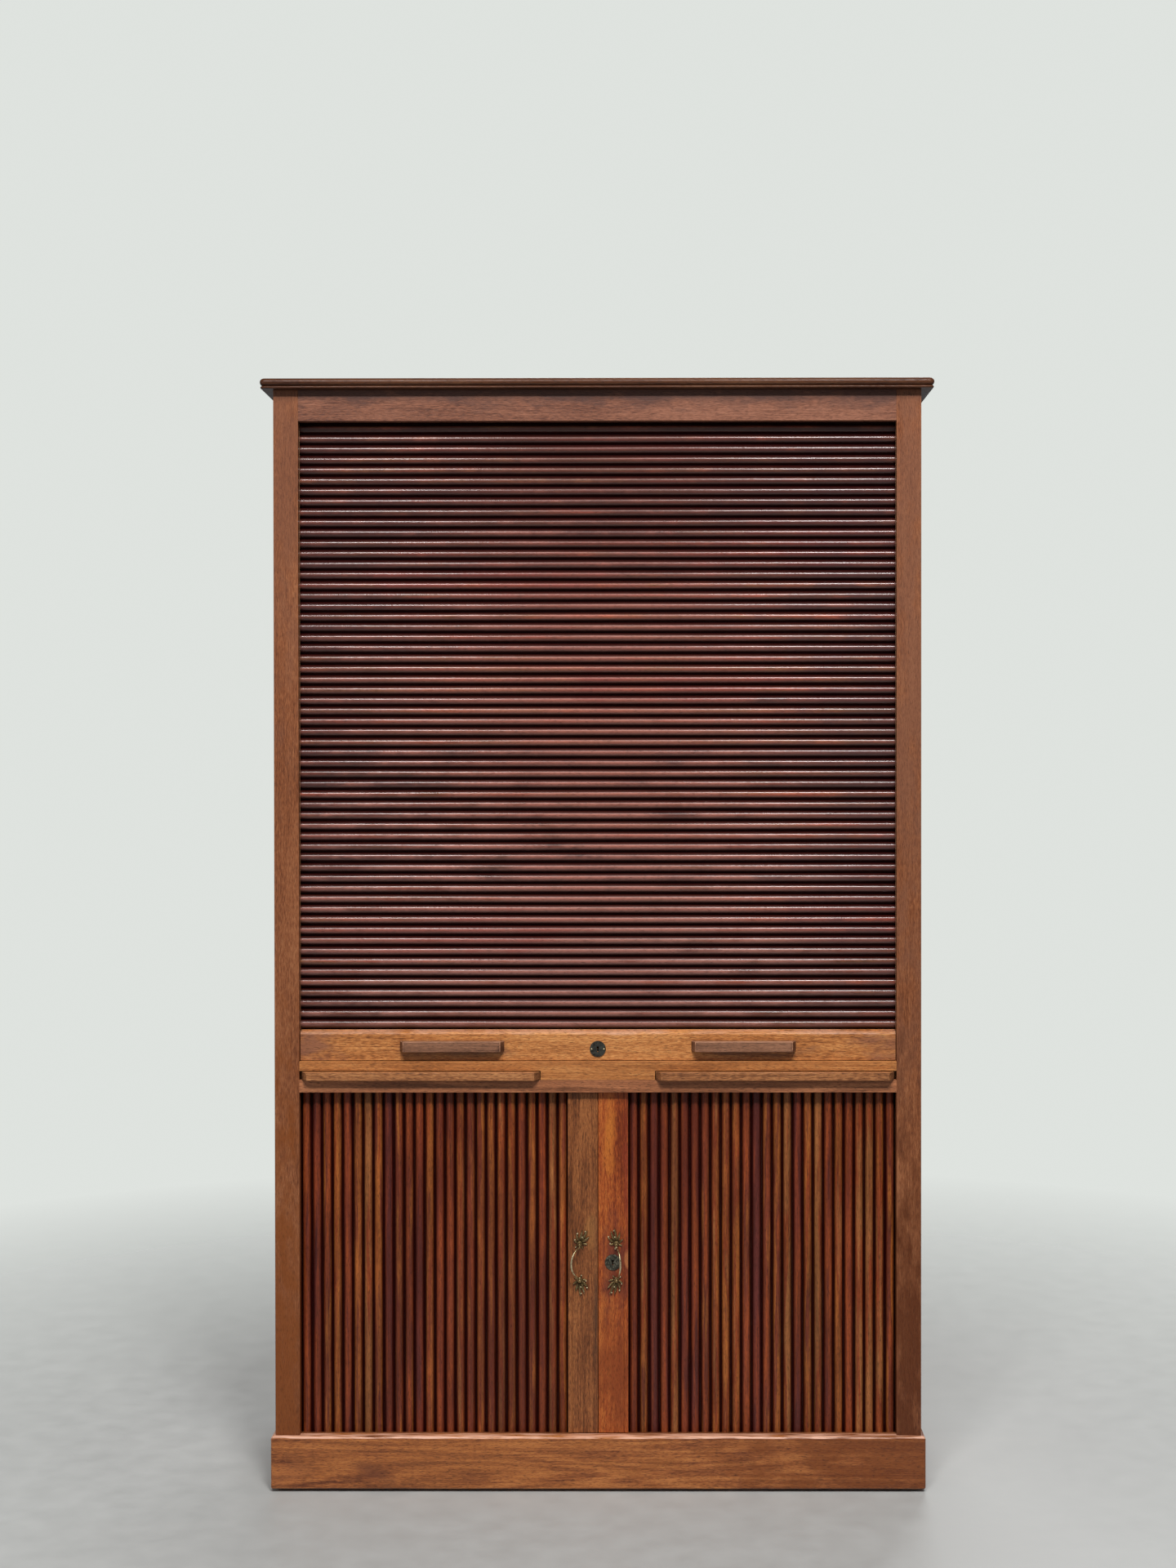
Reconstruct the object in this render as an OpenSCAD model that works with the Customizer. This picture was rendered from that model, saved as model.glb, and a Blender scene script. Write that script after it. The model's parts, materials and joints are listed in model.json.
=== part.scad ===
// Tall desk cabinet with one roll-up shutter above a worktop, two pull-out
// writing slides, and two sideways tambour doors below.
// The front faces -Y, the origin is at floor level under the middle.

/* [Overall] */
// Width across the top board
top_w = 1200; // [1180:1:1260]
// Depth across the top board
top_d = 450; // [445:1:480]
// Height from the floor to the top
total_h = 1988; // [1980:1:2010]
// How far the top board stands out past each side
side_overhang = 22; // [18:1:28]
// How far the top board stands out past the front
front_overhang = 18; // [18:1:22]

/* [Top] */
// Thickness of the bullnosed top board
top_board_t = 14; // [12:1:16]
// Thickness of the bead moulding under it
moulding_t = 4.5; // [4:0.5:6]
// Width of the moulding strips
moulding_w = 70; // [60:1:90]

/* [Plinth] */
// Height of the glides
glide_h = 5; // [4:1:8]
// Radius of each glide
glide_r = 16; // [12:1:20]
// Height of the plinth boards
plinth_h = 95; // [90:1:100]
// Thickness of the plinth boards
plinth_t = 18; // [16:1:20]
// How far the plinth stands out past the case
plinth_proud = 7.5; // [5:0.5:9]
// Round on the upper outer edge of the plinth
plinth_round = 6; // [3:0.5:7]

/* [Case] */
// Width of each front stile
stile_w = 44; // [42:1:48]
// Thickness of the stiles and the top rail
stile_t = 18; // [17:0.5:18]
// Thickness of each outer side board
side_t = 16; // [15:0.5:16]
// Thickness of the back panels
back_t = 8; // [6:1:9]
// Thickness of the liners that keep things clear of the tambours
liner_t = 8; // [6:1:8]
// Thickness of the bottom board and the guide board
board_t = 22; // [20:1:24]
// Height of the lower opening
door_h = 614.5; // [600:0.5:620]
// Thickness of the shelves
shelf_t = 18; // [16:1:20]

/* [Worktop and writing slides] */
// Thickness of the worktop
worktop_t = 17; // [16:0.5:20]
// Depth of the worktop's edge board
edge_board_d = 36; // [34:1:40]
// Height of the slot that the writing slides run in
slide_slot_h = 16.5; // [16:0.5:18]
// Width of each writing slide
slide_w = 426; // [415:1:430]
// Half the gap between the two slides
slide_inner_x = 103.5; // [100:0.5:105]
// Length of each slide board
slide_len = 345; // [330:1:350]
// How far each slide pulls out
slide_travel = 290; // [250:1:295]
// How far the slide lips stand out past the case
lip_proud = 14; // [8:1:16]
// Depth of the slide lips
lip_d = 26; // [24:1:28]
// Bevel on the front corners of the lips
lip_bevel = 10; // [4:1:12]

/* [Tambours] */
// Thickness of the slats at the crown
slat_t = 11; // [10:0.5:11]
// Gap between the backs of neighbouring slats
slat_gap = 0.4; // [0.3:0.1:0.6]
// Height of the flat edges of a slat, under its crown
slat_edge = 5; // [4:0.5:6]
// Thickness of the canvas
canvas_t = 1; // [0.8:0.1:1]
// Play between a slat and its groove
groove_play = 0.5; // [0.4:0.1:0.6]

/* [Upper shutter] */
// Slats that show when the shutter is closed
shutter_slats = 58; // [57:1:58]
// Slats round the bend behind the top rail
tail_slats = 3; // [2:1:3]
// Height of one slat with its gap
shutter_pitch = 18.75; // [18.6:0.05:18.75]
// Radius of the canvas round the upper bends
shutter_bend_r = 33; // [32:0.5:33]
// Depth of the grooves in the track boards
track_depth = 10; // [8:0.5:11]
// Height of the lock rail
lock_rail_h = 51; // [48:1:52]
// Thickness of the lock rail
lock_rail_t = 22; // [21:0.5:22]
// Half the distance between the two bar pulls
pull_x = 261; // [240:1:280]
// Width of a bar pull where it meets the rail
pull_w = 188; // [170:1:195]
// Height of a bar pull
pull_h = 19; // [16:1:22]
// How far a bar pull stands out
pull_proud = 17; // [14:1:18]

/* [Lower doors] */
// Slats that show on each door
door_slats = 26; // [25:1:26]
// Width of one slat with its gap
door_pitch = 18.42; // [18.3:0.01:18.42]
// Width of each lead stile
lead_w = 54; // [53:0.5:54.5]
// Radius of the canvas round the lower bends
door_bend_r = 28; // [27:0.5:28]
// Depth of the grooves for the doors
door_groove = 8; // [6:0.5:9]

/* [Handles and locks] */
// Distance of the handle axis from the middle
handle_x = 33; // [31:0.5:34]
// Height of the upper handle post
post_top_z = 441; // [436:1:446]
// Height of the lower handle post
post_low_z = 376; // [370:1:380]
// How far the bail axis stands off the lead stile
post_len = 9; // [9:0.5:10]
// Reach of the bail from its axis
bail_reach = 20; // [18:0.5:20]
// Radius of the bail rod
bail_rod_r = 1.7; // [1.4:0.1:1.8]
// Resting swing of the left bail, out from straight
left_swing = 46; // [25:1:60]
// Resting swing of the right bail, out from straight
right_swing = 22; // [20:1:60]
// Radius of the round key plates
key_plate_r = 14.3; // [13:0.1:15]
// Height of the key plate on the lock rail
rail_key_z = 791.5; // [790:0.5:793]
// Height of the key plate on the right lead stile
door_key_z = 407.5; // [405:0.5:410]
// Distance of that key plate from the middle
door_key_x = 26.5; // [26:0.5:27]
// How far each lock bolt travels
bolt_travel = 8; // [6:0.5:9]

/* [Hidden] */
$fn = 64;

WOOD = "#8c553a";
DARK_WOOD = "#4a2424";
GOLD_WOOD = "#a56e41";
PALE_WOOD = "#b08a62";
BRASS = "#8c7d50";
BLACK_METAL = "#464846";
CANVAS = "#6b5d49";

// Planes of the case
body_x = top_w / 2 - side_overhang;
front_y = -top_d / 2 + front_overhang;
back_y = top_d / 2;
stile_back_y = front_y + stile_t;
opening_x = body_x - stile_w;
side_in_x = body_x - side_t;
panel_front_y = back_y - back_t;
rebate_x = side_in_x + back_t;
plinth_x = body_x + plinth_proud;
plinth_y = front_y - plinth_proud;

// Heights, from the floor up
case_z = glide_h + plinth_h;
floor_z = case_z - board_t;
guide_z = case_z + door_h;
slide_z = guide_z + board_t;
worktop_under_z = slide_z + slide_slot_h;
worktop_z = worktop_under_z + worktop_t;
rail_play = 1;
rail_z = worktop_z + rail_play;
rail_top_z = rail_z + lock_rail_h;
rail_tongue_h = 3;
slat_base_z = rail_top_z + rail_tongue_h;
bend_z = slat_base_z + shutter_slats * shutter_pitch;
opening_z = bend_z + rail_play;
case_top_z = total_h - top_board_t - moulding_t;
back_joint_z = slide_z + slide_slot_h / 2;

// Joint of the top rail and the stiles, and the blocks in the plinth's corners
tenon_h = 40;
tenon_t = 8;
tenon_len = 28;
block_w = 44;

// Planes of the tambours
crown_y = stile_back_y + rail_play;
slat_back_y = crown_y + slat_t;
rail_front_y = slat_back_y - lock_rail_t;
lead_t = 20;
lead_front_y = rail_front_y + 4;
lead_back_y = lead_front_y + lead_t;
lead_in_x = 0.5;
sill_play = 1;

// Bends of the tracks: the front bend's centre is at bend_y, the rear's at rear_y
shutter_bend_y = slat_back_y + shutter_bend_r;
rear_run = 79;
shutter_rear_y = back_y - rear_run;
shutter_end_z = 1140;
door_back_x = side_in_x - rail_play - slat_t;
door_bend_x = door_back_x - door_bend_r;
door_bend_y = slat_back_y + door_bend_r;
door_rear_run = 65;
door_rear_y = back_y - door_rear_run;
door_end_x = 385;

// Liners and shelves
liner_rear_y = shutter_rear_y + 14;
liner_top_z = bend_z + 12;
liner_front_y = shutter_bend_y + 9;
door_liner_x = opening_x - 2;
door_liner_front_y = door_bend_y + 9;
door_liner_rear_y = door_rear_y + 8;
shelf_front_y = slat_back_y + 19;
peg_y = 110;
peg_r = 3;
peg_len = 20;
upper_shelf_zs = [1150, 1530];
lower_shelf_z = 400;

// Writing slides
slide_play = 0.5;
inner_runner_w = 22;
ear_w = 12;
ear_d = 30;
slide_board_y = front_y - lip_proud + lip_d;
ear_y = slide_board_y + slide_len - ear_d;
runner_stop_y = ear_y - slide_travel - rail_play;

// Locks
lock_half_w = 30;
lock_h = 36;
lock_floor_z = rail_z + 7;
bolt_half_w = 7.5;
bolt_y = slat_back_y - 8;
bolt_t = 4;
strike_half_w = 20;
strike_t = 1.5;
lock_y = slat_back_y - 11;
door_lock_x = 10;
door_lock_w = 36;
door_lock_h = 45;
door_bolt_h = 15;
bail_y = lead_front_y - post_len;

// Boxes given by their two opposite corners
module box(a, b) {
    translate(a)
        cube(b - a);
}

// The same thing on both sides of the middle
module both_sides() {
    children();
    mirror([1, 0, 0])
        children();
}

// A slab with a bullnose along its front and both ends
module bullnose_slab(half_w, y_front, z_low, t) {
    r = t / 2;
    x_in = half_w - r;
    y_in = y_front + r;
    box([-x_in, y_in, z_low], [x_in, back_y, z_low + t]);
    translate([-x_in, y_in, z_low + r])
        rotate([0, 90, 0])
            cylinder(r = r, h = 2 * x_in);
    both_sides() {
        translate([x_in, back_y, z_low + r])
            rotate([90, 0, 0])
                cylinder(r = r, h = back_y - y_in);
        translate([x_in, y_in, z_low + r])
            sphere(r = r);
    }
}

// One quarter of a flat ring round the origin, on the +u side, above or below
module quarter_ring(r_in, r_out, rear) {
    intersection() {
        difference() {
            circle(r = r_out);
            circle(r = r_in);
        }
        translate([0, rear ? 0 : -r_out])
            square(r_out);
    }
}

// A tambour groove drawn flat: u runs along the front, v is the case's y.
// It goes along the front, round a bend, to the back, and round to the rear.
module track(u_start, u_bend, v_rear, u_end, r) {
    w = slat_t + 2 * groove_play;
    r_in = r - groove_play;
    v_front = slat_back_y + r;
    translate([u_start, v_front - r_in - w])
        square([u_bend - u_start, w]);
    translate([u_bend, v_front])
        quarter_ring(r_in, r_in + w, false);
    translate([u_bend + r_in, v_front])
        square([w, v_rear - v_front]);
    translate([u_bend, v_rear])
        quarter_ring(r_in, r_in + w, true);
    translate([u_end, v_rear + r_in])
        square([u_bend - u_end, w]);
}

// The section of one slat: flat back on the u axis and a round crown
module slat_section(pitch) {
    w = pitch - slat_gap;
    rise = slat_t - slat_edge;
    crown_r = (w * w / 4 + rise * rise) / (2 * rise);
    intersection() {
        translate([-w / 2, -slat_t])
            square([w, slat_t]);
        translate([0, crown_r - slat_t])
            circle(r = crown_r);
    }
}

// Slats laid along a track that starts at u_start and bends at u_bend
module slat_row(count, pitch, u_start, u_bend, r) {
    for (i = [0 : count - 1]) {
        s = (i + 0.5) * pitch;
        run = u_bend - u_start;
        turn = max(0, s - run) / r * 180 / PI;
        u = min(u_start + s, u_bend) + r * sin(turn);
        v = slat_back_y + r * (1 - cos(turn));
        translate([u, v])
            rotate(turn)
                slat_section(pitch);
    }
}

// The canvas along the same track, laid just behind the slats
module canvas_strip(u_start, u_bend, r, turn) {
    translate([u_start, slat_back_y])
        square([u_bend - u_start, canvas_t]);
    translate([u_bend, slat_back_y + r])
        intersection() {
            difference() {
                circle(r = r);
                circle(r = r - canvas_t);
            }
            polygon([
                [0, 0],
                [0, -2 * r],
                [2 * r, -2 * r],
                [2 * r * sin(turn), -2 * r * cos(turn)]
            ]);
        }
}

// Stands a flat drawing up: u becomes z, v stays y, and it grows along x
module stand_up(x_low, x_high) {
    translate([x_high, 0, 0])
        rotate([0, -90, 0])
            linear_extrude(x_high - x_low)
                children();
}

module shutter_track(x_low, x_high) {
    stand_up(x_low, x_high)
        track(worktop_z - 1, bend_z, shutter_rear_y, shutter_end_z, shutter_bend_r);
}

module door_track(z_low, z_high) {
    translate([0, 0, z_low])
        linear_extrude(z_high - z_low)
            track(-1, door_bend_x, door_rear_y, door_end_x, door_bend_r);
}

// Screws that hold the back panels to the side boards
module at_back_screws() {
    for (z = [160 : 290 : 1900])
        for (x = [-1, 1])
            translate([x * (side_in_x + rebate_x) / 2, back_y, z])
                rotate([90, 0, 0])
                    children();
}

module back_screw() {
    head_r = 3.4;
    shank_r = 1.7;
    cylinder(r = head_r, h = 2);
    cylinder(r = shank_r, h = 25);
}

// Shelf pegs, along x, their middles at the face that they are fixed in
module at_pegs(z, x) {
    for (y = [-peg_y, peg_y])
        for (side = [-1, 1])
            translate([side * x, y, z - peg_r])
                rotate([0, 90, 0])
                    children();
}

module peg(length) {
    translate([0, 0, -length / 2])
        cylinder(r = peg_r, h = length);
}

// A keyhole through a plate, along y, from y_low to y_high
module keyhole(x, z, y_low, y_high) {
    translate([x, y_high, z])
        rotate([90, 0, 0]) {
            translate([0, 2.5, 0])
                cylinder(r = 2, h = y_high - y_low);
            translate([-1, -5, 0])
                cube([2, 7, y_high - y_low]);
        }
}

// ---- Top ----

module top_board() {
    color(WOOD)
        bullnose_slab(top_w / 2, -top_d / 2, total_h - top_board_t, top_board_t);
}

module top_moulding() {
    set_back = 1;
    inner_x = top_w / 2 - moulding_w;
    color(WOOD)
        difference() {
            bullnose_slab(top_w / 2 - set_back, -top_d / 2 + set_back, case_top_z, moulding_t);
            box(
                [-inner_x, -top_d / 2 + moulding_w, case_top_z - 1],
                [inner_x, back_y - moulding_w, total_h]
            );
        }
}

// ---- Front frame and sides ----

module rail_tenon(clear) {
    z_mid = (opening_z + case_top_z) / 2;
    y_mid = (front_y + stile_back_y) / 2;
    box(
        [opening_x - 1, y_mid - tenon_t / 2, z_mid - tenon_h / 2],
        [opening_x + tenon_len + clear, y_mid + tenon_t / 2, z_mid + tenon_h / 2]
    );
}

module stile() {
    color(WOOD)
        difference() {
            box([opening_x, front_y, case_z], [body_x, stile_back_y, case_top_z]);
            rail_tenon(0.5);
        }
}

module left_stile() {
    mirror([1, 0, 0])
        stile();
}

module right_stile() {
    stile();
}

module top_rail() {
    color(WOOD) {
        box([-opening_x, front_y, opening_z], [opening_x, stile_back_y, case_top_z]);
        both_sides()
            rail_tenon(0);
    }
}

module side_board() {
    color(WOOD)
        difference() {
            box([side_in_x, stile_back_y, case_z], [body_x, back_y, case_top_z]);
            box([side_in_x - 1, panel_front_y, case_z - 1], [rebate_x, back_y + 1, total_h]);
            at_back_screws()
                back_screw();
        }
}

module left_side() {
    mirror([1, 0, 0])
        side_board();
}

module right_side() {
    side_board();
}

module track_board() {
    color(PALE_WOOD)
        difference() {
            union() {
                box([opening_x, stile_back_y, worktop_z], [side_in_x, panel_front_y, case_top_z]);
                box(
                    [opening_x, front_y + edge_board_d, worktop_under_z],
                    [side_in_x, panel_front_y, worktop_z + 1]
                );
            }
            shutter_track(opening_x - 1, opening_x + track_depth);
            for (z = upper_shelf_zs)
                at_pegs(z, opening_x)
                    peg(peg_len);
        }
}

module left_track_board() {
    mirror([1, 0, 0])
        track_board();
}

module right_track_board() {
    track_board();
}

// ---- Inside ----

module inner_top() {
    color(PALE_WOOD)
        box(
            [-opening_x, liner_front_y, liner_top_z],
            [opening_x, liner_rear_y + liner_t, liner_top_z + liner_t]
        );
}

module inner_back() {
    color(PALE_WOOD)
        box(
            [-opening_x, liner_rear_y, worktop_under_z],
            [opening_x, liner_rear_y + liner_t, liner_top_z]
        );
}

module upper_shelf(z) {
    color(PALE_WOOD)
        box([1 - opening_x, shelf_front_y, z], [opening_x - 1, liner_rear_y - 1, z + shelf_t]);
}

module upper_shelf_low() {
    upper_shelf(upper_shelf_zs[0]);
}

module upper_shelf_high() {
    upper_shelf(upper_shelf_zs[1]);
}

module lower_shelf() {
    color(PALE_WOOD)
        box(
            [1 - door_liner_x, shelf_front_y, lower_shelf_z],
            [door_liner_x - 1, door_liner_rear_y - 1, lower_shelf_z + shelf_t]
        );
}

module shelf_pegs() {
    color(BRASS) {
        for (z = upper_shelf_zs)
            at_pegs(z, opening_x)
                peg(peg_len);
        at_pegs(lower_shelf_z, door_liner_x)
            peg(2 * liner_t);
    }
}

module liner() {
    color(PALE_WOOD)
        difference() {
            box(
                [door_liner_x, door_liner_front_y, case_z],
                [door_liner_x + liner_t, door_liner_rear_y, guide_z]
            );
            at_pegs(lower_shelf_z, door_liner_x)
                peg(2 * liner_t + 1);
        }
}

module left_liner() {
    mirror([1, 0, 0])
        liner();
}

module right_liner() {
    liner();
}

module lower_inner_back() {
    color(PALE_WOOD)
        box(
            [-door_liner_x, door_liner_rear_y, case_z],
            [door_liner_x, door_liner_rear_y + liner_t, guide_z]
        );
}

// ---- Worktop, guide board and runners ----

module worktop() {
    color(GOLD_WOOD)
        box(
            [-opening_x, front_y + edge_board_d, worktop_under_z],
            [opening_x, liner_rear_y, worktop_z]
        );
}

module worktop_edge() {
    back = front_y + edge_board_d;
    color(GOLD_WOOD)
        difference() {
            union() {
                box([-opening_x, front_y, worktop_under_z], [opening_x, back, worktop_z]);
                box([-side_in_x, stile_back_y, worktop_under_z], [side_in_x, back, worktop_z]);
                box(
                    [1 - slide_inner_x, front_y, slide_z],
                    [slide_inner_x - 1, back, worktop_z]
                );
            }
            box(
                [-strike_half_w, lock_y - 1, worktop_z - strike_t],
                [strike_half_w, slat_back_y + 1, worktop_z + 1]
            );
            box(
                [-bolt_half_w - 2, bolt_y - 1, worktop_z - 12],
                [bolt_half_w + 2, bolt_y + bolt_t + 1, worktop_z]
            );
        }
}

module rail_strike() {
    color(BRASS)
        difference() {
            box(
                [-strike_half_w, lock_y - 1, worktop_z - strike_t],
                [strike_half_w, slat_back_y + 1, worktop_z]
            );
            box(
                [-bolt_half_w - 1, bolt_y - 1, worktop_z - 12],
                [bolt_half_w + 1, bolt_y + bolt_t + 1, worktop_z + 1]
            );
        }
}

module guide_board() {
    color(WOOD)
        difference() {
            union() {
                box([-opening_x, front_y, guide_z], [opening_x, stile_back_y, slide_z]);
                box([-side_in_x, stile_back_y, guide_z], [side_in_x, panel_front_y, slide_z]);
            }
            both_sides()
                door_track(guide_z - 1, guide_z + door_groove);
        }
}

// The groove in a runner that the ears of a slide run in
module ear_groove(x_low, x_high) {
    box(
        [x_low, runner_stop_y, slide_z + slide_slot_h / 2 - 4],
        [x_high, panel_front_y + 1, slide_z + slide_slot_h / 2 + 4]
    );
}

module outer_runners() {
    x_low = slide_inner_x + slide_w + 1;
    color(PALE_WOOD)
        both_sides()
            difference() {
                box([x_low, stile_back_y, slide_z], [side_in_x, panel_front_y, worktop_under_z]);
                ear_groove(x_low - 1, x_low + ear_w);
            }
}

module inner_runners() {
    x_high = slide_inner_x - 1;
    color(PALE_WOOD)
        both_sides()
            difference() {
                box(
                    [x_high - inner_runner_w, front_y + edge_board_d, slide_z],
                    [x_high, panel_front_y, worktop_under_z]
                );
                ear_groove(x_high - ear_w, x_high + 1);
            }
}

module slide() {
    x_high = slide_inner_x + slide_w;
    z_mid = slide_z + slide_slot_h / 2;
    y_rear = slide_board_y + slide_len;
    color(GOLD_WOOD) {
        box(
            [slide_inner_x, slide_board_y, slide_z + slide_play],
            [x_high, y_rear, worktop_under_z - slide_play]
        );
        box(
            [slide_inner_x - ear_w + 0.5, ear_y, z_mid - 3],
            [x_high + ear_w - 0.5, y_rear, z_mid + 3]
        );
    }
}

module left_slide() {
    mirror([1, 0, 0])
        slide();
}

module right_slide() {
    slide();
}

module slide_lip() {
    y_low = front_y - lip_proud;
    x_high = slide_inner_x + slide_w;
    color(GOLD_WOOD)
        translate([0, 0, slide_z + slide_play])
            linear_extrude(slide_slot_h - 3 * slide_play)
                polygon([
                    [slide_inner_x, slide_board_y],
                    [slide_inner_x, front_y],
                    [slide_inner_x + lip_bevel, y_low],
                    [x_high - lip_bevel, y_low],
                    [x_high, front_y],
                    [x_high, slide_board_y]
                ]);
}

module left_slide_lip() {
    mirror([1, 0, 0])
        slide_lip();
}

module right_slide_lip() {
    slide_lip();
}

// ---- Base ----

module bottom_board() {
    color(WOOD)
        difference() {
            box(
                [plinth_t - plinth_x, plinth_y + plinth_t, floor_z],
                [plinth_x - plinth_t, back_y - plinth_t, case_z]
            );
            both_sides()
                door_track(case_z - door_groove, case_z + 1);
        }
}

// The section of a plinth board: u is the distance in from its face, v the height
module plinth_section() {
    translate([plinth_round, glide_h])
        square([plinth_t - plinth_round, plinth_h]);
    translate([0, glide_h])
        square([plinth_t, plinth_h - plinth_round]);
    translate([plinth_round, case_z - plinth_round])
        circle(r = plinth_round);
}

module plinth_front() {
    color(WOOD)
        intersection() {
            translate([-plinth_x, plinth_y, 0])
                rotate([90, 0, 90])
                    linear_extrude(2 * plinth_x)
                        plinth_section();
            linear_extrude(case_z)
                polygon([
                    [-plinth_x, plinth_y],
                    [plinth_x, plinth_y],
                    [plinth_x - plinth_t, plinth_y + plinth_t],
                    [plinth_t - plinth_x, plinth_y + plinth_t]
                ]);
        }
}

module plinth_side() {
    color(WOOD)
        intersection() {
            translate([-plinth_x, back_y, 0])
                rotate([90, 0, 0])
                    linear_extrude(back_y - plinth_y)
                        plinth_section();
            linear_extrude(case_z)
                polygon([
                    [-plinth_x, plinth_y],
                    [plinth_t - plinth_x, plinth_y + plinth_t],
                    [plinth_t - plinth_x, back_y],
                    [-plinth_x, back_y]
                ]);
        }
}

module plinth_left() {
    plinth_side();
}

module plinth_right() {
    mirror([1, 0, 0])
        plinth_side();
}

module plinth_back() {
    color(WOOD)
        box(
            [plinth_t - plinth_x, back_y - plinth_t, glide_h],
            [plinth_x - plinth_t, back_y, case_z]
        );
}

module at_corners(inset) {
    for (x = [plinth_t - plinth_x + inset, plinth_x - plinth_t - inset])
        for (y = [plinth_y + plinth_t + inset, back_y - plinth_t - inset])
            translate([x, y, 0])
                children();
}

module corner_blocks() {
    color(PALE_WOOD)
        at_corners(block_w / 2)
            translate([-block_w / 2, -block_w / 2, glide_h])
                cube([block_w, block_w, floor_z - glide_h]);
}

module glides() {
    color(BLACK_METAL)
        at_corners(block_w / 2)
            cylinder(r = glide_r, h = glide_h);
}

// ---- Back ----

module back_panel(z_low, z_high) {
    color(PALE_WOOD)
        difference() {
            box([-rebate_x, panel_front_y, z_low], [rebate_x, back_y, z_high]);
            at_back_screws()
                back_screw();
        }
}

module upper_back() {
    back_panel(back_joint_z, case_top_z);
}

module lower_back() {
    back_panel(case_z, back_joint_z);
}

module back_screws() {
    color(BRASS)
        at_back_screws()
            back_screw();
}

// ---- Upper shutter ----

module shutter_slats() {
    half_len = opening_x + track_depth - groove_play;
    color(DARK_WOOD)
        stand_up(-half_len, half_len)
            slat_row(
                shutter_slats + tail_slats, shutter_pitch, slat_base_z, bend_z, shutter_bend_r
            );
}

module shutter_canvas() {
    half_len = opening_x - liner_t;
    color(CANVAS)
        stand_up(-half_len, half_len)
            canvas_strip(slat_base_z + 1, bend_z, shutter_bend_r, 88);
}

module lock_rail() {
    half_w = opening_x - 1;
    half_len = opening_x + track_depth - groove_play;
    round_r = 6;
    color(GOLD_WOOD)
        difference() {
            union() {
                box([-half_w, rail_front_y, rail_z], [half_w, slat_back_y, rail_top_z - round_r]);
                box(
                    [-half_w, rail_front_y + round_r, rail_z],
                    [half_w, slat_back_y, rail_top_z]
                );
                translate([-half_w, rail_front_y + round_r, rail_top_z - round_r])
                    rotate([0, 90, 0])
                        cylinder(r = round_r, h = 2 * half_w);
                box([-half_len, crown_y, rail_z], [half_len, slat_back_y, rail_top_z]);
                box(
                    [-half_w, slat_back_y - 9, rail_top_z],
                    [half_w, slat_back_y, slat_base_z - 0.5]
                );
            }
            box(
                [-lock_half_w, lock_y, lock_floor_z],
                [lock_half_w, slat_back_y + 1, lock_floor_z + lock_h]
            );
            box(
                [-bolt_half_w - 0.5, bolt_y - 0.5, rail_z - 1],
                [bolt_half_w + 0.5, bolt_y + bolt_t + 0.5, lock_floor_z]
            );
            keyhole(0, rail_key_z, rail_front_y - 1, lock_y);
            at_rail_pins()
                rail_pin();
        }
}

module at_rail_pins() {
    for (x = [-11, 11])
        translate([x, rail_front_y, rail_key_z])
            rotate([90, 0, 0])
                children();
}

module rail_pin() {
    shank_r = 0.9;
    head_r = 1.5;
    plate_t = 1.5;
    translate([0, 0, -5])
        cylinder(r = shank_r, h = 5 + plate_t);
    translate([0, 0, plate_t])
        cylinder(r = head_r, h = 0.8);
}

module rail_pins() {
    color(BRASS)
        at_rail_pins()
            rail_pin();
}

module rail_key_plate() {
    color(BLACK_METAL)
        difference() {
            translate([0, rail_front_y, rail_key_z])
                rotate([90, 0, 0])
                    cylinder(r = key_plate_r, h = 1.5);
            keyhole(0, rail_key_z, rail_front_y - 2, rail_front_y + 1);
            at_rail_pins()
                rail_pin();
        }
}

module rail_lock() {
    color(BLACK_METAL)
        difference() {
            box(
                [0.5 - lock_half_w, lock_y + 0.5, lock_floor_z + 0.5],
                [lock_half_w - 0.5, slat_back_y, lock_floor_z + lock_h - 0.5]
            );
            box(
                [-bolt_half_w - 0.5, bolt_y - 0.5, lock_floor_z],
                [bolt_half_w + 0.5, bolt_y + bolt_t + 0.5, lock_floor_z + 24]
            );
            keyhole(0, rail_key_z, lock_y, bolt_y);
        }
}

module rail_bolt() {
    color(BRASS)
        box(
            [-bolt_half_w, bolt_y, rail_z + 1],
            [bolt_half_w, bolt_y + bolt_t, lock_floor_z + 22]
        );
}

module pull(x) {
    z_low = rail_key_z + 5.5 - pull_h / 2;
    half_w = pull_w / 2;
    slope = 7;
    color(WOOD)
        translate([x, 0, z_low])
            linear_extrude(pull_h)
                polygon([
                    [-half_w, rail_front_y],
                    [slope - half_w, rail_front_y - pull_proud],
                    [half_w - slope, rail_front_y - pull_proud],
                    [half_w, rail_front_y]
                ]);
}

module left_pull() {
    pull(-pull_x);
}

module right_pull() {
    pull(pull_x);
}

// ---- Lower doors ----

module door_slat_row() {
    translate([0, 0, case_z - door_groove + sill_play])
        linear_extrude(door_h + 2 * (door_groove - sill_play))
            slat_row(
                door_slats + 1, door_pitch, lead_w + lead_in_x, door_bend_x, door_bend_r
            );
}

module left_door_slats() {
    color(DARK_WOOD)
        mirror([1, 0, 0])
            door_slat_row();
}

module right_door_slats() {
    color(DARK_WOOD)
        door_slat_row();
}

module door_canvas() {
    color(CANVAS)
        translate([0, 0, case_z + 10])
            linear_extrude(door_h - 20)
                canvas_strip(lead_w + lead_in_x + 1, door_bend_x, door_bend_r, 60);
}

module left_canvas() {
    mirror([1, 0, 0])
        door_canvas();
}

module right_canvas() {
    door_canvas();
}

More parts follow.
